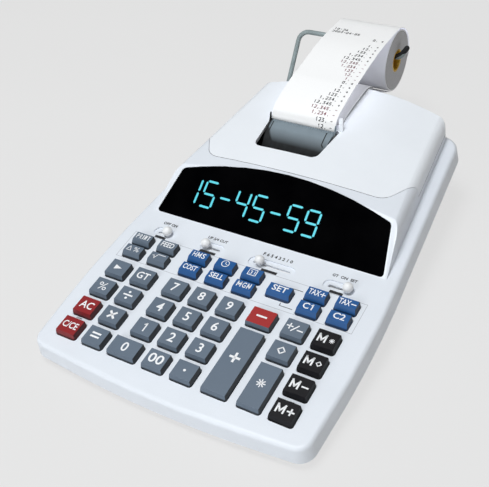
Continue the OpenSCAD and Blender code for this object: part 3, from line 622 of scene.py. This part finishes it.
# Legends on the keys: their words with height and width, from the font or set letter by letter
WORDS = {"clear": ("C/CE", 5.6, 12.6), "all_clear": ("AC", 6.4, 11), "grand_total": ("GT", 6.4, 10.5),
         "00": ("00", 7.6, 11.5), "set": ("SET", 5.2, 11.6), "cost": ("COST", 4.9, 11.6),
         "sell": ("SELL", 4.9, 11.4), "c2": ("C2", 5.2, 8.6), "feed": ("FEED", 4.8, 11)}
SPACED = {"margin": ("MGN", 4.9, 11), "print": ("PRINT", 4.6, 11.8), "hms": ("HMS", 5.0, 10.6)}
DRAWN = {"M": [(-1, -1), (-1, 1), (0, -0.5), (1, 1), (1, -1)], "N": [(-1, -1), (-1, 1), (1, -1), (1, 1)],
         "T": [(-1, 1), (1, 1), (0, 1), (0, -1)], "I": [(0, 1), (0, -1)]}
LETTER_CELLS, LETTER_GAP, LETTER_STROKE = {"M": 1.25, "I": 0.3}, 0.9, 0.75
DIGIT_H, WORD_RISE, LEGEND_LIFT, TOP_REACH = 7.6, 0.2, 0.005, 0.05


def key_top(name):
    """Middle of a key's top face on the deck."""
    co = np.array([v.co for v in nodes[name].data.vertices]) * 1000
    y, z = co[:, 1] - SHIFT_Y, co[:, 2] - DECK_Z
    s, n = y * math.cos(TILT) + z * math.sin(TILT), -y * math.sin(TILT) + z * math.cos(TILT)
    top = n > n.max() - TOP_REACH
    return (co[top, 0].min() + co[top, 0].max()) / 2, (s[top].min() + s[top].max()) / 2


def diamond(p, c, r, w):
    p.path([(c[0] - r, c[1]), (c[0], c[1] - r), (c[0] + r, c[1]), (c[0], c[1] + r)], w, True)


def star(p, c, r, w):
    for k in range(4):
        a = math.pi / 2 + k * math.pi / 4
        u, v = r * math.cos(a), r * math.sin(a)
        p.line((c[0] - u, c[1] - v), (c[0] + u, c[1] + v), w)


def dash(p, c, r, w):
    p.line((c[0] - r, c[1]), (c[0] + r, c[1]), w)


def plus(p, c, r, w):
    dash(p, c, r, w)
    p.line((c[0], c[1] - r), (c[0], c[1] + r), w)


def one(p, c, h, w):
    p.line((c[0], c[1] - h / 2 + w / 2), (c[0], c[1] + h / 2 - w / 2), w)
    p.line((c[0], c[1] + h / 2 - w / 2), (c[0] - 0.2 * h, c[1] + 0.26 * h), w * 0.8)


def percent(p, c, h, w):
    p.line((c[0] - 0.3 * h, c[1] - 0.44 * h), (c[0] + 0.3 * h, c[1] + 0.44 * h), w * 0.85)
    for k in (-1, 1):
        p.ring((c[0] + k * 0.3 * h, c[1] - k * 0.26 * h), 0.17 * h, w * 0.8)


MEMORY_MARKS = {"memory_plus": (plus, 2.0, 1.15), "memory_minus": (dash, 1.9, 1.15),
                "memory_subtotal": (diamond, 1.8, 0.65), "memory_total": (star, 1.6, 0.5)}


def letters(p, text, centre, height, width):
    """A word of evenly set capitals, those with slanting strokes drawn and the others from the font."""
    cells = [LETTER_CELLS.get(letter, 1.0) for letter in text]
    unit = (width - LETTER_GAP * (len(text) - 1)) / sum(cells)
    x = centre[0] - width / 2
    for letter, cell in zip(text, cells):
        middle = x + cell * unit / 2
        if letter in DRAWN:
            half_w, half_h = (cell * unit - LETTER_STROKE) / 2, (height - LETTER_STROKE) / 2
            p.path([(middle + u * half_w, centre[1] + v * half_h) for u, v in DRAWN[letter]], LETTER_STROKE)
        else:
            word(p, letter, (middle, centre[1]), height, cell * unit)
        x += cell * unit + LETTER_GAP


def legend(name):
    x, s = key_top(name)
    p = Plates(lambda u, v, h: deck(x + u, s + v, KEY_TOP + LEGEND_LIFT + h))
    label = name[len("key_"):]
    if label == "1":
        one(p, (0.6, 0), DIGIT_H, 1.0)
    elif label.isdigit() and len(label) == 1:
        word(p, label, (0, 0), DIGIT_H)
    elif label in WORDS:
        text, height, width = WORDS[label]
        word(p, text, (0, WORD_RISE), height, width, BOLD)
    elif label in SPACED:
        text, height, width = SPACED[label]
        letters(p, text, (0, WORD_RISE), height, width)
    elif label == "c1":
        word(p, "C", (-1.9, WORD_RISE), 5.2, 4.6, BOLD)
        one(p, (2.8, WORD_RISE), 5.2, 0.9)
    elif label == "percent":
        percent(p, (0, 0), 7.2, 0.9)
    elif label == "equals":
        for v in (-1.5, 1.5):
            dash(p, (0, v), 3.0, 1.45)
    elif label == "point":
        p.disc((0, 0), 1.0)
    elif label == "multiply":
        for k in (-1, 1):
            p.line((-2.3, -2.3 * k), (2.3, 2.3 * k), 1.7)
    elif label == "divide":
        dash(p, (0, 0), 3.3, 1.3)
        for v in (-2.9, 2.9):
            p.disc((0, v), 1.0)
    elif label == "plus":
        plus(p, (0, 2.5), 3.2, 1.7)
    elif label == "minus":
        dash(p, (0, 0.3), 3.4, 1.4)
    elif label == "total":
        star(p, (0, 1.5), 2.9, 0.75)
    elif label == "subtotal":
        diamond(p, (0, 0), 2.7, 0.9)
    elif label == "shift":
        p.polygon([(-3.0, -2.2), (3.2, 0), (-3.0, 2.2)])
    elif label == "sign":
        plus(p, (-4.0, 0.8), 2.0, 0.95)
        p.line((-1.8, -2.6), (1.8, 2.6), 0.9)
        p.line((2.4, -1.0), (5.9, -1.0), 1.0)
    elif label.startswith("memory"):
        p.path([(-5.2, -2.7), (-5.2, 2.7), (-2.7, -1.6), (-0.2, 2.7), (-0.2, -2.7)], 1.25)
        mark, size, stroke = MEMORY_MARKS[label]
        mark(p, (4.4, -0.2), size, stroke)
    elif label.startswith("tax"):
        word(p, "TAX", (-1.8, 0), 5.0, 8.6, BOLD)
        if label == "tax_plus":
            plus(p, (4.7, -0.2), 1.6, 0.75)
        else:
            p.line((3.4, -0.2), (6.4, -0.2), 0.8)
    elif label == "delta":
        p.path([(-5.6, -2.1), (-1.8, -2.1), (-3.7, 2.1)], 0.5, True)
        percent(p, (2.6, 0), 4.6, 0.62)
    elif label == "root":
        p.path([(-5.2, 0.2), (-4.2, 0.7), (-3.0, -2.0), (-1.2, 2.2), (5.0, 2.2)], 0.55)
    elif label == "clock":
        p.ring((0, 0), 2.9, 0.55)
        p.path([(0, 1.7), (0, 0), (1.5, -0.5)], 0.5)
    elif label == "calendar":
        p.path([(-3.2, -2.7), (3.2, -2.7), (3.2, 2.7), (-3.2, 2.7)], 0.6, True)
        word(p, "31", (0, -0.1), 3.2, 4.2, 0.0)
    p.build("legend_" + label, LEGEND, bodies[name])


for name in sorted(nodes):
    if name.startswith("key_"):
        legend(name)

# Display digits on the lens: the segments of each, and their ends in halves of a digit's width and height
SEGMENTS = {"1": "bc", "4": "bcfg", "5": "acdfg", "9": "abcdfg", "-": "g"}
SEGMENT_ENDS = {"a": ((-1, 1), (1, 1)), "b": ((1, 1), (1, 0)), "c": ((1, 0), (1, -1)),
                "d": ((-1, -1), (1, -1)), "f": ((-1, 1), (-1, 0)), "g": ((-1, 0), (1, 0))}
DIGIT_HALF_W, SEGMENT_HALF, SEGMENT_GAP = 5.2, 0.85, 0.55
SEGMENT_LIFT, SEGMENT_T = 0.01, 0.05
# The first digit's place across and up the slope with half its height, and the change from digit to digit
FIRST_DIGIT, DIGIT_STEP = np.array((-73.2, 25.2, 10.7)), np.array((14.95, -0.08, -0.1))


def digits():
    p = Plates(lambda u, v, h: slope(u, v, SEGMENT_LIFT + h), SEGMENT_T)
    for i, glyph in enumerate("15-45-59"):
        x, v, half_h = FIRST_DIGIT + DIGIT_STEP * i
        for letter in SEGMENTS[glyph]:
            a, b = (np.array((x + q[0] * DIGIT_HALF_W, v + q[1] * half_h)) for q in SEGMENT_ENDS[letter])
            ahead = (b - a) / np.linalg.norm(b - a)
            a, b = a + ahead * SEGMENT_GAP, b - ahead * SEGMENT_GAP
            ahead *= SEGMENT_HALF
            aside = np.array([-ahead[1], ahead[0]])
            outline = (a, a + ahead - aside, b - ahead - aside, b, b - ahead + aside, a + ahead + aside)
            p.polygon([tuple(q) for q in outline])
    p.build("display_digits", glow_material(), "case")


digits()

# Printed lines and words on the deck, dark bars in front of the knob slots, with the words' places and
# heights
PALE_LIFT, DARK_LIFT, DECK_INK = 0.004, 0.012, 0.03
FRAME_LINE, FRAME_LINE_W = [(-100, 33.6), (97, 33.6), (97, 60.6), (-100, 60.6)], 0.32
KNOB_BARS, KNOB_BAR_S, KNOB_BAR_W = ((-82.5, -72.8), (-41, -27.4), (12.2, 25.2), (67.2, 77.4)), 62.3, 2.4
SET_LINES, SET_LINE_W = ([(40.4, 54.4), (50.4, 54.4)], [(40.5, 39.3), (40.5, 37.1), (50.4, 37.1)]), 0.5
DECK_WORDS = (("OFF ON", (-77.5, 77.4), 2.7), ("UP 5/4 CUT", (-33.2, 76.7), 2.6),
              ("GT  ON  SET", (72.4, 77.2), 2.6), ("CLEAR", (-88, -29.0), 1.3), ("MINUS", (36.2, 29.0), 1.4),
              ("SUB", (62.2, 9.2), 1.3), ("SUB", (85, 9.2), 1.3), ("ADD", (85, -30.4), 1.3),
              ("TOTAL", (85, 29.0), 1.3))
DECIMALS, DECIMALS_X, DECIMALS_S, DECIMALS_STEP, DECIMALS_H = "F6543210", 7.4, 77.1, 3.2, 3.0


def deck_print():
    pale = Plates(lambda u, v, h: deck(u, v, PALE_LIFT + h), DECK_INK)
    pale.path(FRAME_LINE, FRAME_LINE_W, True)
    pale.build("deck_frame_line", INK_PALE, "case")
    dark = Plates(lambda u, v, h: deck(u, v, DARK_LIFT + h), DECK_INK)
    # Dark bars in front of the knob slots
    for x0, x1 in KNOB_BARS:
        dark.line((x0 + KNOB_BAR_W / 2, KNOB_BAR_S), (x1 - KNOB_BAR_W / 2, KNOB_BAR_S), KNOB_BAR_W)
    for line in SET_LINES:
        dark.path(line, SET_LINE_W)
    for label, at, height in DECK_WORDS:
        word(dark, label, at, height, None, HEAVY)
    for k, label in enumerate(DECIMALS):
        word(dark, label, (DECIMALS_X + DECIMALS_STEP * k, DECIMALS_S), DECIMALS_H, None, HEAVY)
    dark.build("deck_print", INK, "case")


deck_print()


# Paper: the strip from the roll round the platen and back, its print, and the wound roll
def around(centre, radius, start, end, steps):
    """Points on an arc between two angles in degrees."""
    turns = [math.radians(start + (end - start) * k / steps) for k in range(steps + 1)]
    return [(centre[0] + radius * math.cos(t), centre[1] + radius * math.sin(t)) for t in turns]


def spline(points, steps):
    """A smooth curve through points, without its last one."""
    p = [np.array(q, float) for q in points]
    out = []
    for i in range(len(p) - 1):
        a, b, c, d = p[max(i - 1, 0)], p[i], p[i + 1], p[min(i + 2, len(p) - 1)]
        for k in range(steps):
            t = k / steps
            out.append(tuple(0.5 * (2 * b + (c - a) * t + (2 * a - 5 * b + 4 * c - d) * t * t
                                    + (3 * b - a - 3 * c + d) * t ** 3)))
    return out


TIP_RISE = 1.8
TIP = (TEAR_S, hump_top(TEAR_S) + TIP_RISE)
TIP_Z = deck(0, *TIP).z
PAST_TIP = (TIP[0] + 2.2, TIP[1] + 2.4)
WEB_LEAN, WEB_R = math.radians(33), ROLL_R + 0.8
TAPE_MEETS = math.radians(80)


def paper_path():
    """The paper's side view: from the roll over the hump, round the platen, out and over the roll."""
    feed = spline([
        (ROLL[0] - WEB_R * math.sin(WEB_LEAN), ROLL[1] - WEB_R * math.cos(WEB_LEAN)),
        (ROLL[0] - 50, ROLL[1] - 0.3),
        (HUMP_REAR_S + 5.6, hump_top(HUMP_REAR_S) - 3.6),
        (HUMP_REAR_S - 6.8, hump_top(HUMP_REAR_S - 6.8) + 1.2),
        (HUMP_REAR_S - 21.4, hump_top(HUMP_REAR_S - 21.4) + 1.7),
        (SLOT_BACK + 4, hump_top(SLOT_BACK) + 0.9),
        (SLOT_BACK - 2.6, hump_top(SLOT_BACK) - 2),
        (PLATEN[0] + WRAP_R, PLATEN[1] + 6)], 8)
    strip = spline([
        (PLATEN[0] - WRAP_R, PLATEN[1] + 6),
        (TIP[0] + 0.9, TIP[1] - 4), PAST_TIP, (TIP[0] + 9.7, TIP[1] + 9.2), (TIP[0] + 38, TIP[1] + 14),
        (ROLL[0] - 74, ROLL[1] + 31), (ROLL[0] - 35, ROLL[1] + 32.4),
        (ROLL[0] + TAPE_R * math.cos(TAPE_MEETS), ROLL[1] + TAPE_R * math.sin(TAPE_MEETS))], 10)
    return np.array(feed + around(PLATEN, WRAP_R, 0, -180, 20) + strip + around(ROLL, TAPE_R, 76, -25, 28))


PATH = paper_path()
ALONG = np.concatenate([[0], np.cumsum(np.linalg.norm(np.diff(PATH, axis=0), axis=1))])
SIDE = np.gradient(PATH, axis=0)
SIDE = np.stack([-SIDE[:, 1], SIDE[:, 0]], 1) / np.linalg.norm(SIDE, axis=1)[:, None]
PAPER_HALF_T, PAPER_COLUMNS = 0.08, 13


def on_paper(x, dist, lift):
    """A point on the strip, so far along it and so far off its middle."""
    q = [np.interp(dist, ALONG, PATH[:, k]) + lift * np.interp(dist, ALONG, SIDE[:, k]) for k in (0, 1)]
    return deck(x, q[0], q[1])


def paper_strip():
    """The strip as one closed sheet, with a painted glow under the part that stands out, for light through
    the paper.
    """
    verts, faces = [], []
    columns = np.linspace(PAPER_LEFT, PAPER_RIGHT, PAPER_COLUMNS)
    for lift in (PAPER_HALF_T, -PAPER_HALF_T):
        verts += [on_paper(x, d, lift) for d in ALONG for x in columns]
    m, k = len(columns), len(columns) * len(ALONG)
    for i in range(len(ALONG) - 1):
        for j in range(m - 1):
            a = i * m + j
            faces += [(a, a + 1, a + m + 1, a + m), (k + a, k + a + m, k + a + m + 1, k + a + 1)]
        left, right = i * m, i * m + m - 1
        faces += [(left, left + m, k + left + m, k + left), (right + m, right, k + right, k + right + m)]
    for a in range(m - 1):
        b = (len(ALONG) - 1) * m + a
        faces += [(a + 1, a, k + a, k + a + 1), (b, b + 1, k + b + 1, k + b)]
    o = piece("paper_strip", verts, faces, MAT["paper"], "case", smooth=True, sharp=60)
    o.data.materials.append(MAT["paper_under_glow"])
    for f in o.data.polygons:
        # Faces under the part that stands out get the painted glow
        f.material_index = int(all(v >= k for v in f.vertices) and f.center.z > TIP_Z and f.normal.z < 0)
    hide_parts("paper_tape")


paper_strip()

# Print on the tape: strokes of each sign, one unit wide and two high, and the rows from the tear edge upwards
STROKES = {"0": [(0, 0, 1, 0), (1, 0, 1, 2), (1, 2, 0, 2), (0, 2, 0, 0)],
           "1": [(0.5, 0, 0.5, 2), (0.2, 1.6, 0.5, 2)],
           "2": [(0, 2, 1, 2), (1, 2, 1, 1), (1, 1, 0, 0), (0, 0, 1, 0)],
           "3": [(0, 2, 1, 2), (1, 2, 0.4, 1.1), (0.4, 1.1, 1, 0.8), (1, 0.8, 0.8, 0), (0.8, 0, 0, 0)],
           "4": [(0.8, 0, 0.8, 2), (0.8, 2, 0, 0.7), (0, 0.7, 1.1, 0.7)],
           "5": [(1, 2, 0, 2), (0, 2, 0, 1.1), (0, 1.1, 1, 1), (1, 1, 0.8, 0), (0.8, 0, 0, 0)],
           "6": [(0.8, 2, 0, 0.8), (0, 0.8, 0, 0), (0, 0, 1, 0), (1, 0, 1, 0.9), (1, 0.9, 0, 0.9)],
           ".": [(0.4, 0, 0.6, 0)], ",": [(0.6, 0.2, 0.3, -0.4)], "-": [(0.1, 1, 0.9, 1)],
           ":": [(0.5, 0.4, 0.5, 0.5), (0.5, 1.4, 0.5, 1.5)],
           "+": [(0.1, 1, 0.9, 1), (0.5, 0.5, 0.5, 1.5)],
           "*": [(0.1, 0.6, 0.9, 1.4), (0.1, 1.4, 0.9, 0.6), (0.5, 0.4, 0.5, 1.6)]}
SUM_ROWS = ["12 -", "123 -", "1,234 -", "12,345 -", "12,345 +", "1,234 +", "123 +", "12 +", "1 +", "0 *"]
ROWS = SUM_ROWS + ["1 -"] + SUM_ROWS
ROW_STEP, FIRST_ROW, DARK_ROWS = 5.3, -2.4, 2
SIGN_STEP, SIGN_SIZE, STROKE_W, STROKE_POINTS = 2.7, 1.36, 0.6, 4
NUMBER_INSET, SIGN_INSET, TAPE_LIFT, TAPE_INK = 7.2, 2.2, 0.1, 0.02
DATE, DATE_INSET, DATE_STEP = "2003-04-05", 30.5, 5.4
TIME, TIME_INSET, TIME_STEP = "10:26", 17.0, 5.0


def tape_line(plates, text, right_x, at):
    """A line of print that ends at a place across the paper; strokes are cut up to follow its curve."""
    for k, glyph in enumerate(reversed(text)):
        x = right_x - SIGN_STEP * (k + 1)
        for x0, y0, x1, y1 in STROKES[glyph]:
            ends = np.linspace((x + x0 * SIGN_SIZE, at + y0 * SIGN_SIZE),
                               (x + x1 * SIGN_SIZE, at + y1 * SIGN_SIZE), STROKE_POINTS)
            for a, b in zip(ends, ends[1:]):
                plates.line(a, b, STROKE_W)


def tape_print():
    tear = float(ALONG[np.argmin(np.linalg.norm(PATH - np.array(PAST_TIP), axis=1))])
    red, dark = (Plates(lambda u, v, h: on_paper(u, v, TAPE_LIFT + h), TAPE_INK) for _ in range(2))
    last = len(ROWS) - 1
    for k, row in enumerate(ROWS):
        number, sign = row.split(" ")
        at = tear + FIRST_ROW + ROW_STEP * (k + (k == last))
        ink = red if sign == "-" and k >= DARK_ROWS else dark
        tape_line(ink, number + ".", PAPER_RIGHT - NUMBER_INSET, at)
        tape_line(ink, sign, PAPER_RIGHT - SIGN_INSET, at)
    tape_line(dark, DATE, PAPER_LEFT + DATE_INSET, at + DATE_STEP)
    tape_line(dark, TIME, PAPER_LEFT + TIME_INSET, at + DATE_STEP + TIME_STEP)
    red.build("tape_print_red", PRINT_RED, "case")
    dark.build("tape_print_dark", PRINT_DARK, "case")


tape_print()


def turned(name, profile, place, material, body, steps=48):
    """A closed ring from a profile of radii and lifts; place puts a radius, an angle and a lift in space."""
    m = len(profile)
    verts = [place(r, 2 * math.pi * k / steps, h) for k in range(steps) for r, h in profile]
    faces = []
    for k in range(steps):
        a, b = k * m, (k + 1) % steps * m
        faces += [(a + i, a + (i + 1) % m, b + (i + 1) % m, b + i) for i in range(m)]
    return piece(name, verts, faces, material, body, smooth=True, sharp=40)


ROLL_SEED, LAYER_RINGS, LAYER_DEPTH, ROLL_EDGE, ROLL_STEPS = 7, 34, 0.12, 0.15, 96


def paper_roll():
    """The wound roll, with layers that stand a little unevenly at its ends and a softened outer edge."""
    rng = np.random.default_rng(ROLL_SEED)
    radii = np.linspace(CORE_R, ROLL_R - ROLL_EDGE, LAYER_RINGS)
    ends = []
    for side in (1, -1):
        lift = rng.uniform(-LAYER_DEPTH, 0.0, len(radii))
        edge = PAPER_X + side * PAPER_W / 2
        ends.append([(float(r), edge + side * lift[i]) for i, r in enumerate(radii)])
        ends[-1].append((ROLL_R, edge - side * ROLL_EDGE))

    def place(r, a, x):
        return deck(x, ROLL[0] + r * math.cos(a), ROLL[1] + r * math.sin(a))
    profile = ends[0] + ends[1][::-1]
    o = turned("paper_roll_wound", profile, place, roll_material(), "paper_supply", ROLL_STEPS)
    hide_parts("paper_roll")


paper_roll()

# Wire sleeve: the straight wire's height at the paper's left edge, its fall to the right and its end
WIRE_N, WIRE_FALL, WIRE_END_X = 14.5, math.radians(2), 13
SLEEVE_RISE, SLEEVE_START, SLEEVE_R = np.array((5, 4, 8)), np.array((-5, 0, 0.17)), 2.4
SLEEVE_SIDES, SLEEVE_STEPS, DOME = 16, 9, (0.5, 1.0, 1.35)
TUBE_ACROSS = np.array([0.3, -1, 0.9])


def tube(name, points, radius, material, body, sides):
    """A round rod through points of the deck's frame, closed with domed ends."""
    ends = []
    for a, b in ((points[0], points[1]), (points[-1], points[-2])):
        d = (a - b) / np.linalg.norm(a - b)
        ends.append([(a + d * radius * math.sin(t), radius * math.cos(t)) for t in DOME])
    rings = ends[0][::-1] + [(q, radius) for q in points] + ends[1]
    verts, faces = [], []
    centres = [q for q, _ in rings]
    turns = [2 * math.pi * k / sides for k in range(sides)]
    for i, (q, r) in enumerate(rings):
        d = centres[min(i + 1, len(rings) - 1)] - centres[max(i - 1, 0)]
        d /= np.linalg.norm(d)
        u = np.cross(d, TUBE_ACROSS)
        u /= np.linalg.norm(u)
        v = np.cross(d, u)
        verts += [deck(*(q + r * (u * math.cos(t) + v * math.sin(t)))) for t in turns]
    for i in range(len(rings) - 1):
        a, b = i * sides, (i + 1) * sides
        faces += [(a + k, a + (k + 1) % sides, b + (k + 1) % sides, b + k) for k in range(sides)]
    faces += [tuple(range(sides)), tuple(range(len(verts) - sides, len(verts)))]
    return piece(name, verts, faces, material, body, smooth=True, sharp=50)


def wire_sleeve():
    """Black sleeve on the wire's turned-up end."""
    wire_n = WIRE_N - (WIRE_END_X - PAPER_LEFT) * math.tan(WIRE_FALL)
    base = np.array((WIRE_END_X, ROLL[0], wire_n))
    bend = [base + SLEEVE_RISE * t * t + SLEEVE_START * (1 - t) ** 2 for t in np.linspace(0, 1, SLEEVE_STEPS)]
    tube("wire_tip_sleeve", bend, SLEEVE_R, MAT["printer_frame"], "case", SLEEVE_SIDES)


wire_sleeve()

# Slide switches: the slot's middle and the knob's reach, the knob's place in it and its strip's top
STRIP_UPPER, STRIP_LOWER = -2.85, -3.6
SWITCHES = {"power_switch": (-77.6, 8.1, 1, STRIP_UPPER), "rounding_switch": (-33.0, 10.4, 0, STRIP_LOWER),
            "decimal_switch": (18.0, 28.4, 1 / 6, STRIP_UPPER), "total_switch": (72.0, 14.4, 1, STRIP_LOWER)}
SWITCH_S, KNOB_HALF = 67.6, 4.82
CHANNEL_PAST, CHANNEL_HALF, CHANNEL_WALL, CHANNEL_LOW, CHANNEL_HIGH = 6.4, 6.2, 0.8, -6.0, -2.56
STRIP_PAST, STRIP_HALF, STRIP_T, PIECE_GAP = 1.8, 1.8, 0.5, 0.02


def switch_fittings():
    """White channels under the knob slots, and the strips that close each slot as its knob slides."""
    channels = Plates()
    for name, (x, reach, place, top) in SWITCHES.items():
        half_w, floor = reach / 2 + CHANNEL_PAST, CHANNEL_LOW + CHANNEL_WALL
        channel_x = (x - half_w, x + half_w)
        channels.box(channel_x, (SWITCH_S - CHANNEL_HALF, SWITCH_S + CHANNEL_HALF), (CHANNEL_LOW, floor))
        strip = Plates()
        knob, strip_end = x + (place - 0.5) * reach, reach + STRIP_PAST
        for side in (-1, 1):
            wall_s = (SWITCH_S + side * CHANNEL_HALF, SWITCH_S + side * (CHANNEL_HALF - CHANNEL_WALL))
            channels.box(channel_x, wall_s, (floor + PIECE_GAP, CHANNEL_HIGH))
            strip.box((knob + side * KNOB_HALF, knob + side * strip_end),
                      (SWITCH_S - STRIP_HALF, SWITCH_S + STRIP_HALF), (top - STRIP_T, top))
        o = strip.build(name + "_strip", MAT["switch_white"], bodies[name])
    channels.build("switch_troughs", MAT["switch_white"], "case")


switch_fittings()

# Cord inlet: its middle in the shared frame, and how the back falls away across and upwards
INLET, BACK_BOW, BACK_LEAN = (40, 104.2, 20), -0.203, 0.419
BUSH = [(2.5, -9), (2.5, 0.7), (2.9, 1.3), (4.6, 1.3), (5.2, 0.8), (5.2, 0.03), (3.42, 0.03), (3.42, -9)]


def cord_bush():
    """Rubber bush in the cord's inlet, its flange flat on the leaning back."""
    def place(r, a, h):
        u, v = r * math.cos(a), r * math.sin(a)
        return Vector((INLET[0] + u, INLET[1] + BACK_BOW * u + BACK_LEAN * v + h, INLET[2] + v)) / 1000
    turned("cord_bush", BUSH, place, MAT["feet"], "case")


cord_bush()

# Paper guide: the fin's outline right of the paper by its share of the height, and its front and rear face
FIN_OUTLINE = [(0.9, 0), (4.9, 0), (4.6, 0.5), (4.1, 0.93), (3.6, 1.0), (0.9, 1.0)]
FIN_FACES = ((201.3, 205.6, 9.6), (203.2, 206.8, 9.2))
STOP_GAP, STOP_W, STOP_S, STOP_N = 0.8, 2.13, (-6.93, -0.07), (-2.6, -0.05)


def paper_guide():
    """White fin on the cover that leans back beside the strip, with the stops that close the slot's ends."""
    p = Plates()
    loops = []
    for foot_s, top_s, rise in FIN_FACES:
        foot_n, top_n = hump_top(foot_s) + PIECE_GAP, hump_top(PLATEN[0]) + rise
        loops.append([deck(PAPER_RIGHT + x, foot_s + (top_s - foot_s) * f, foot_n * (1 - f) + top_n * f)
                      for x, f in FIN_OUTLINE])
    p.prism(*loops)
    for x in (PAPER_RIGHT + STOP_GAP, PAPER_LEFT - STOP_GAP - STOP_W):
        p.box((x, x + STOP_W), [SLOT_BACK + s for s in STOP_S], [hump_top(SLOT_BACK) + n for n in STOP_N])
    o = p.build("paper_guide", MAT["cover"], "case")


paper_guide()

# Tear plate: its foot, the ticks on it by their share of the way to its edge, and the ears at its ends
TEAR_FOOT = (WINDOW_S + 5, hump_top(WINDOW_S) - 15)
LEFT_TICK_X, RIGHT_TICK_X, TICK_HALF, TICK_LIFT, TICK_T = -44.0, 4.6, 0.4, 0.1, 0.04
TICK_ROWS = np.linspace(0.56, 0.92, 10)
TICK_HOOK = [(-0.4, 0.56), (1.6, 0.49), (2.0, 0.52), (0.4, 0.58)]
EAR_OUTLINE, EAR_T = [(-3.0, -1.2), (0.6, -1.2), (1.6, 5.2), (0.8, 5.6), (-1.2, 2.4)], 0.8
EARS = (("tear_ear_left", PAPER_LEFT - 0.9), ("tear_ear_right", PAPER_RIGHT + 0.5))


def tear_arc(f, lift):
    """A point on the tear plate's upper face, from its foot at 0 to its edge at 1."""
    foot, edge = np.array(TEAR_FOOT), np.array(TIP)
    d = edge - foot
    chord = np.linalg.norm(d)
    aside = np.array((d[1], -d[0])) / chord
    centre = (foot + edge) / 2 + aside * math.sqrt(TEAR_R ** 2 - chord * chord / 4)
    start = math.atan2(foot[1] - centre[1], foot[0] - centre[0])
    angle = start - 2 * math.asin(chord / (2 * TEAR_R)) * f
    return centre + (TEAR_R + lift) * np.array((math.cos(angle), math.sin(angle)))


def tear_ticks():
    """Dark tick marks near both ends of the tear plate, the right one with a hook at its foot."""
    p = Plates(lambda u, v, h: deck(u, *tear_arc(v, TICK_LIFT + h)), TICK_T)
    for x in (LEFT_TICK_X, RIGHT_TICK_X):
        for a, b in zip(TICK_ROWS, TICK_ROWS[1:]):
            p.polygon([(x + side * TICK_HALF, v) for side, v in ((-1, a), (1, a), (1, b), (-1, b))])
    p.polygon([(RIGHT_TICK_X + u, v) for u, v in TICK_HOOK])
    p.build("tear_ticks", MAT["printer_frame"], "case")


def tear_ears():
    """Small ears that stand up at both ends of the tear plate's edge."""
    for name, x in EARS:
        p = Plates()
        p.prism(*([deck(side, TIP[0] + s, TIP[1] + n) for s, n in EAR_OUTLINE] for side in (x, x + EAR_T)))
        piece(name, p.verts, p.faces, MAT["tear_plate"], "case")


tear_ticks()
tear_ears()
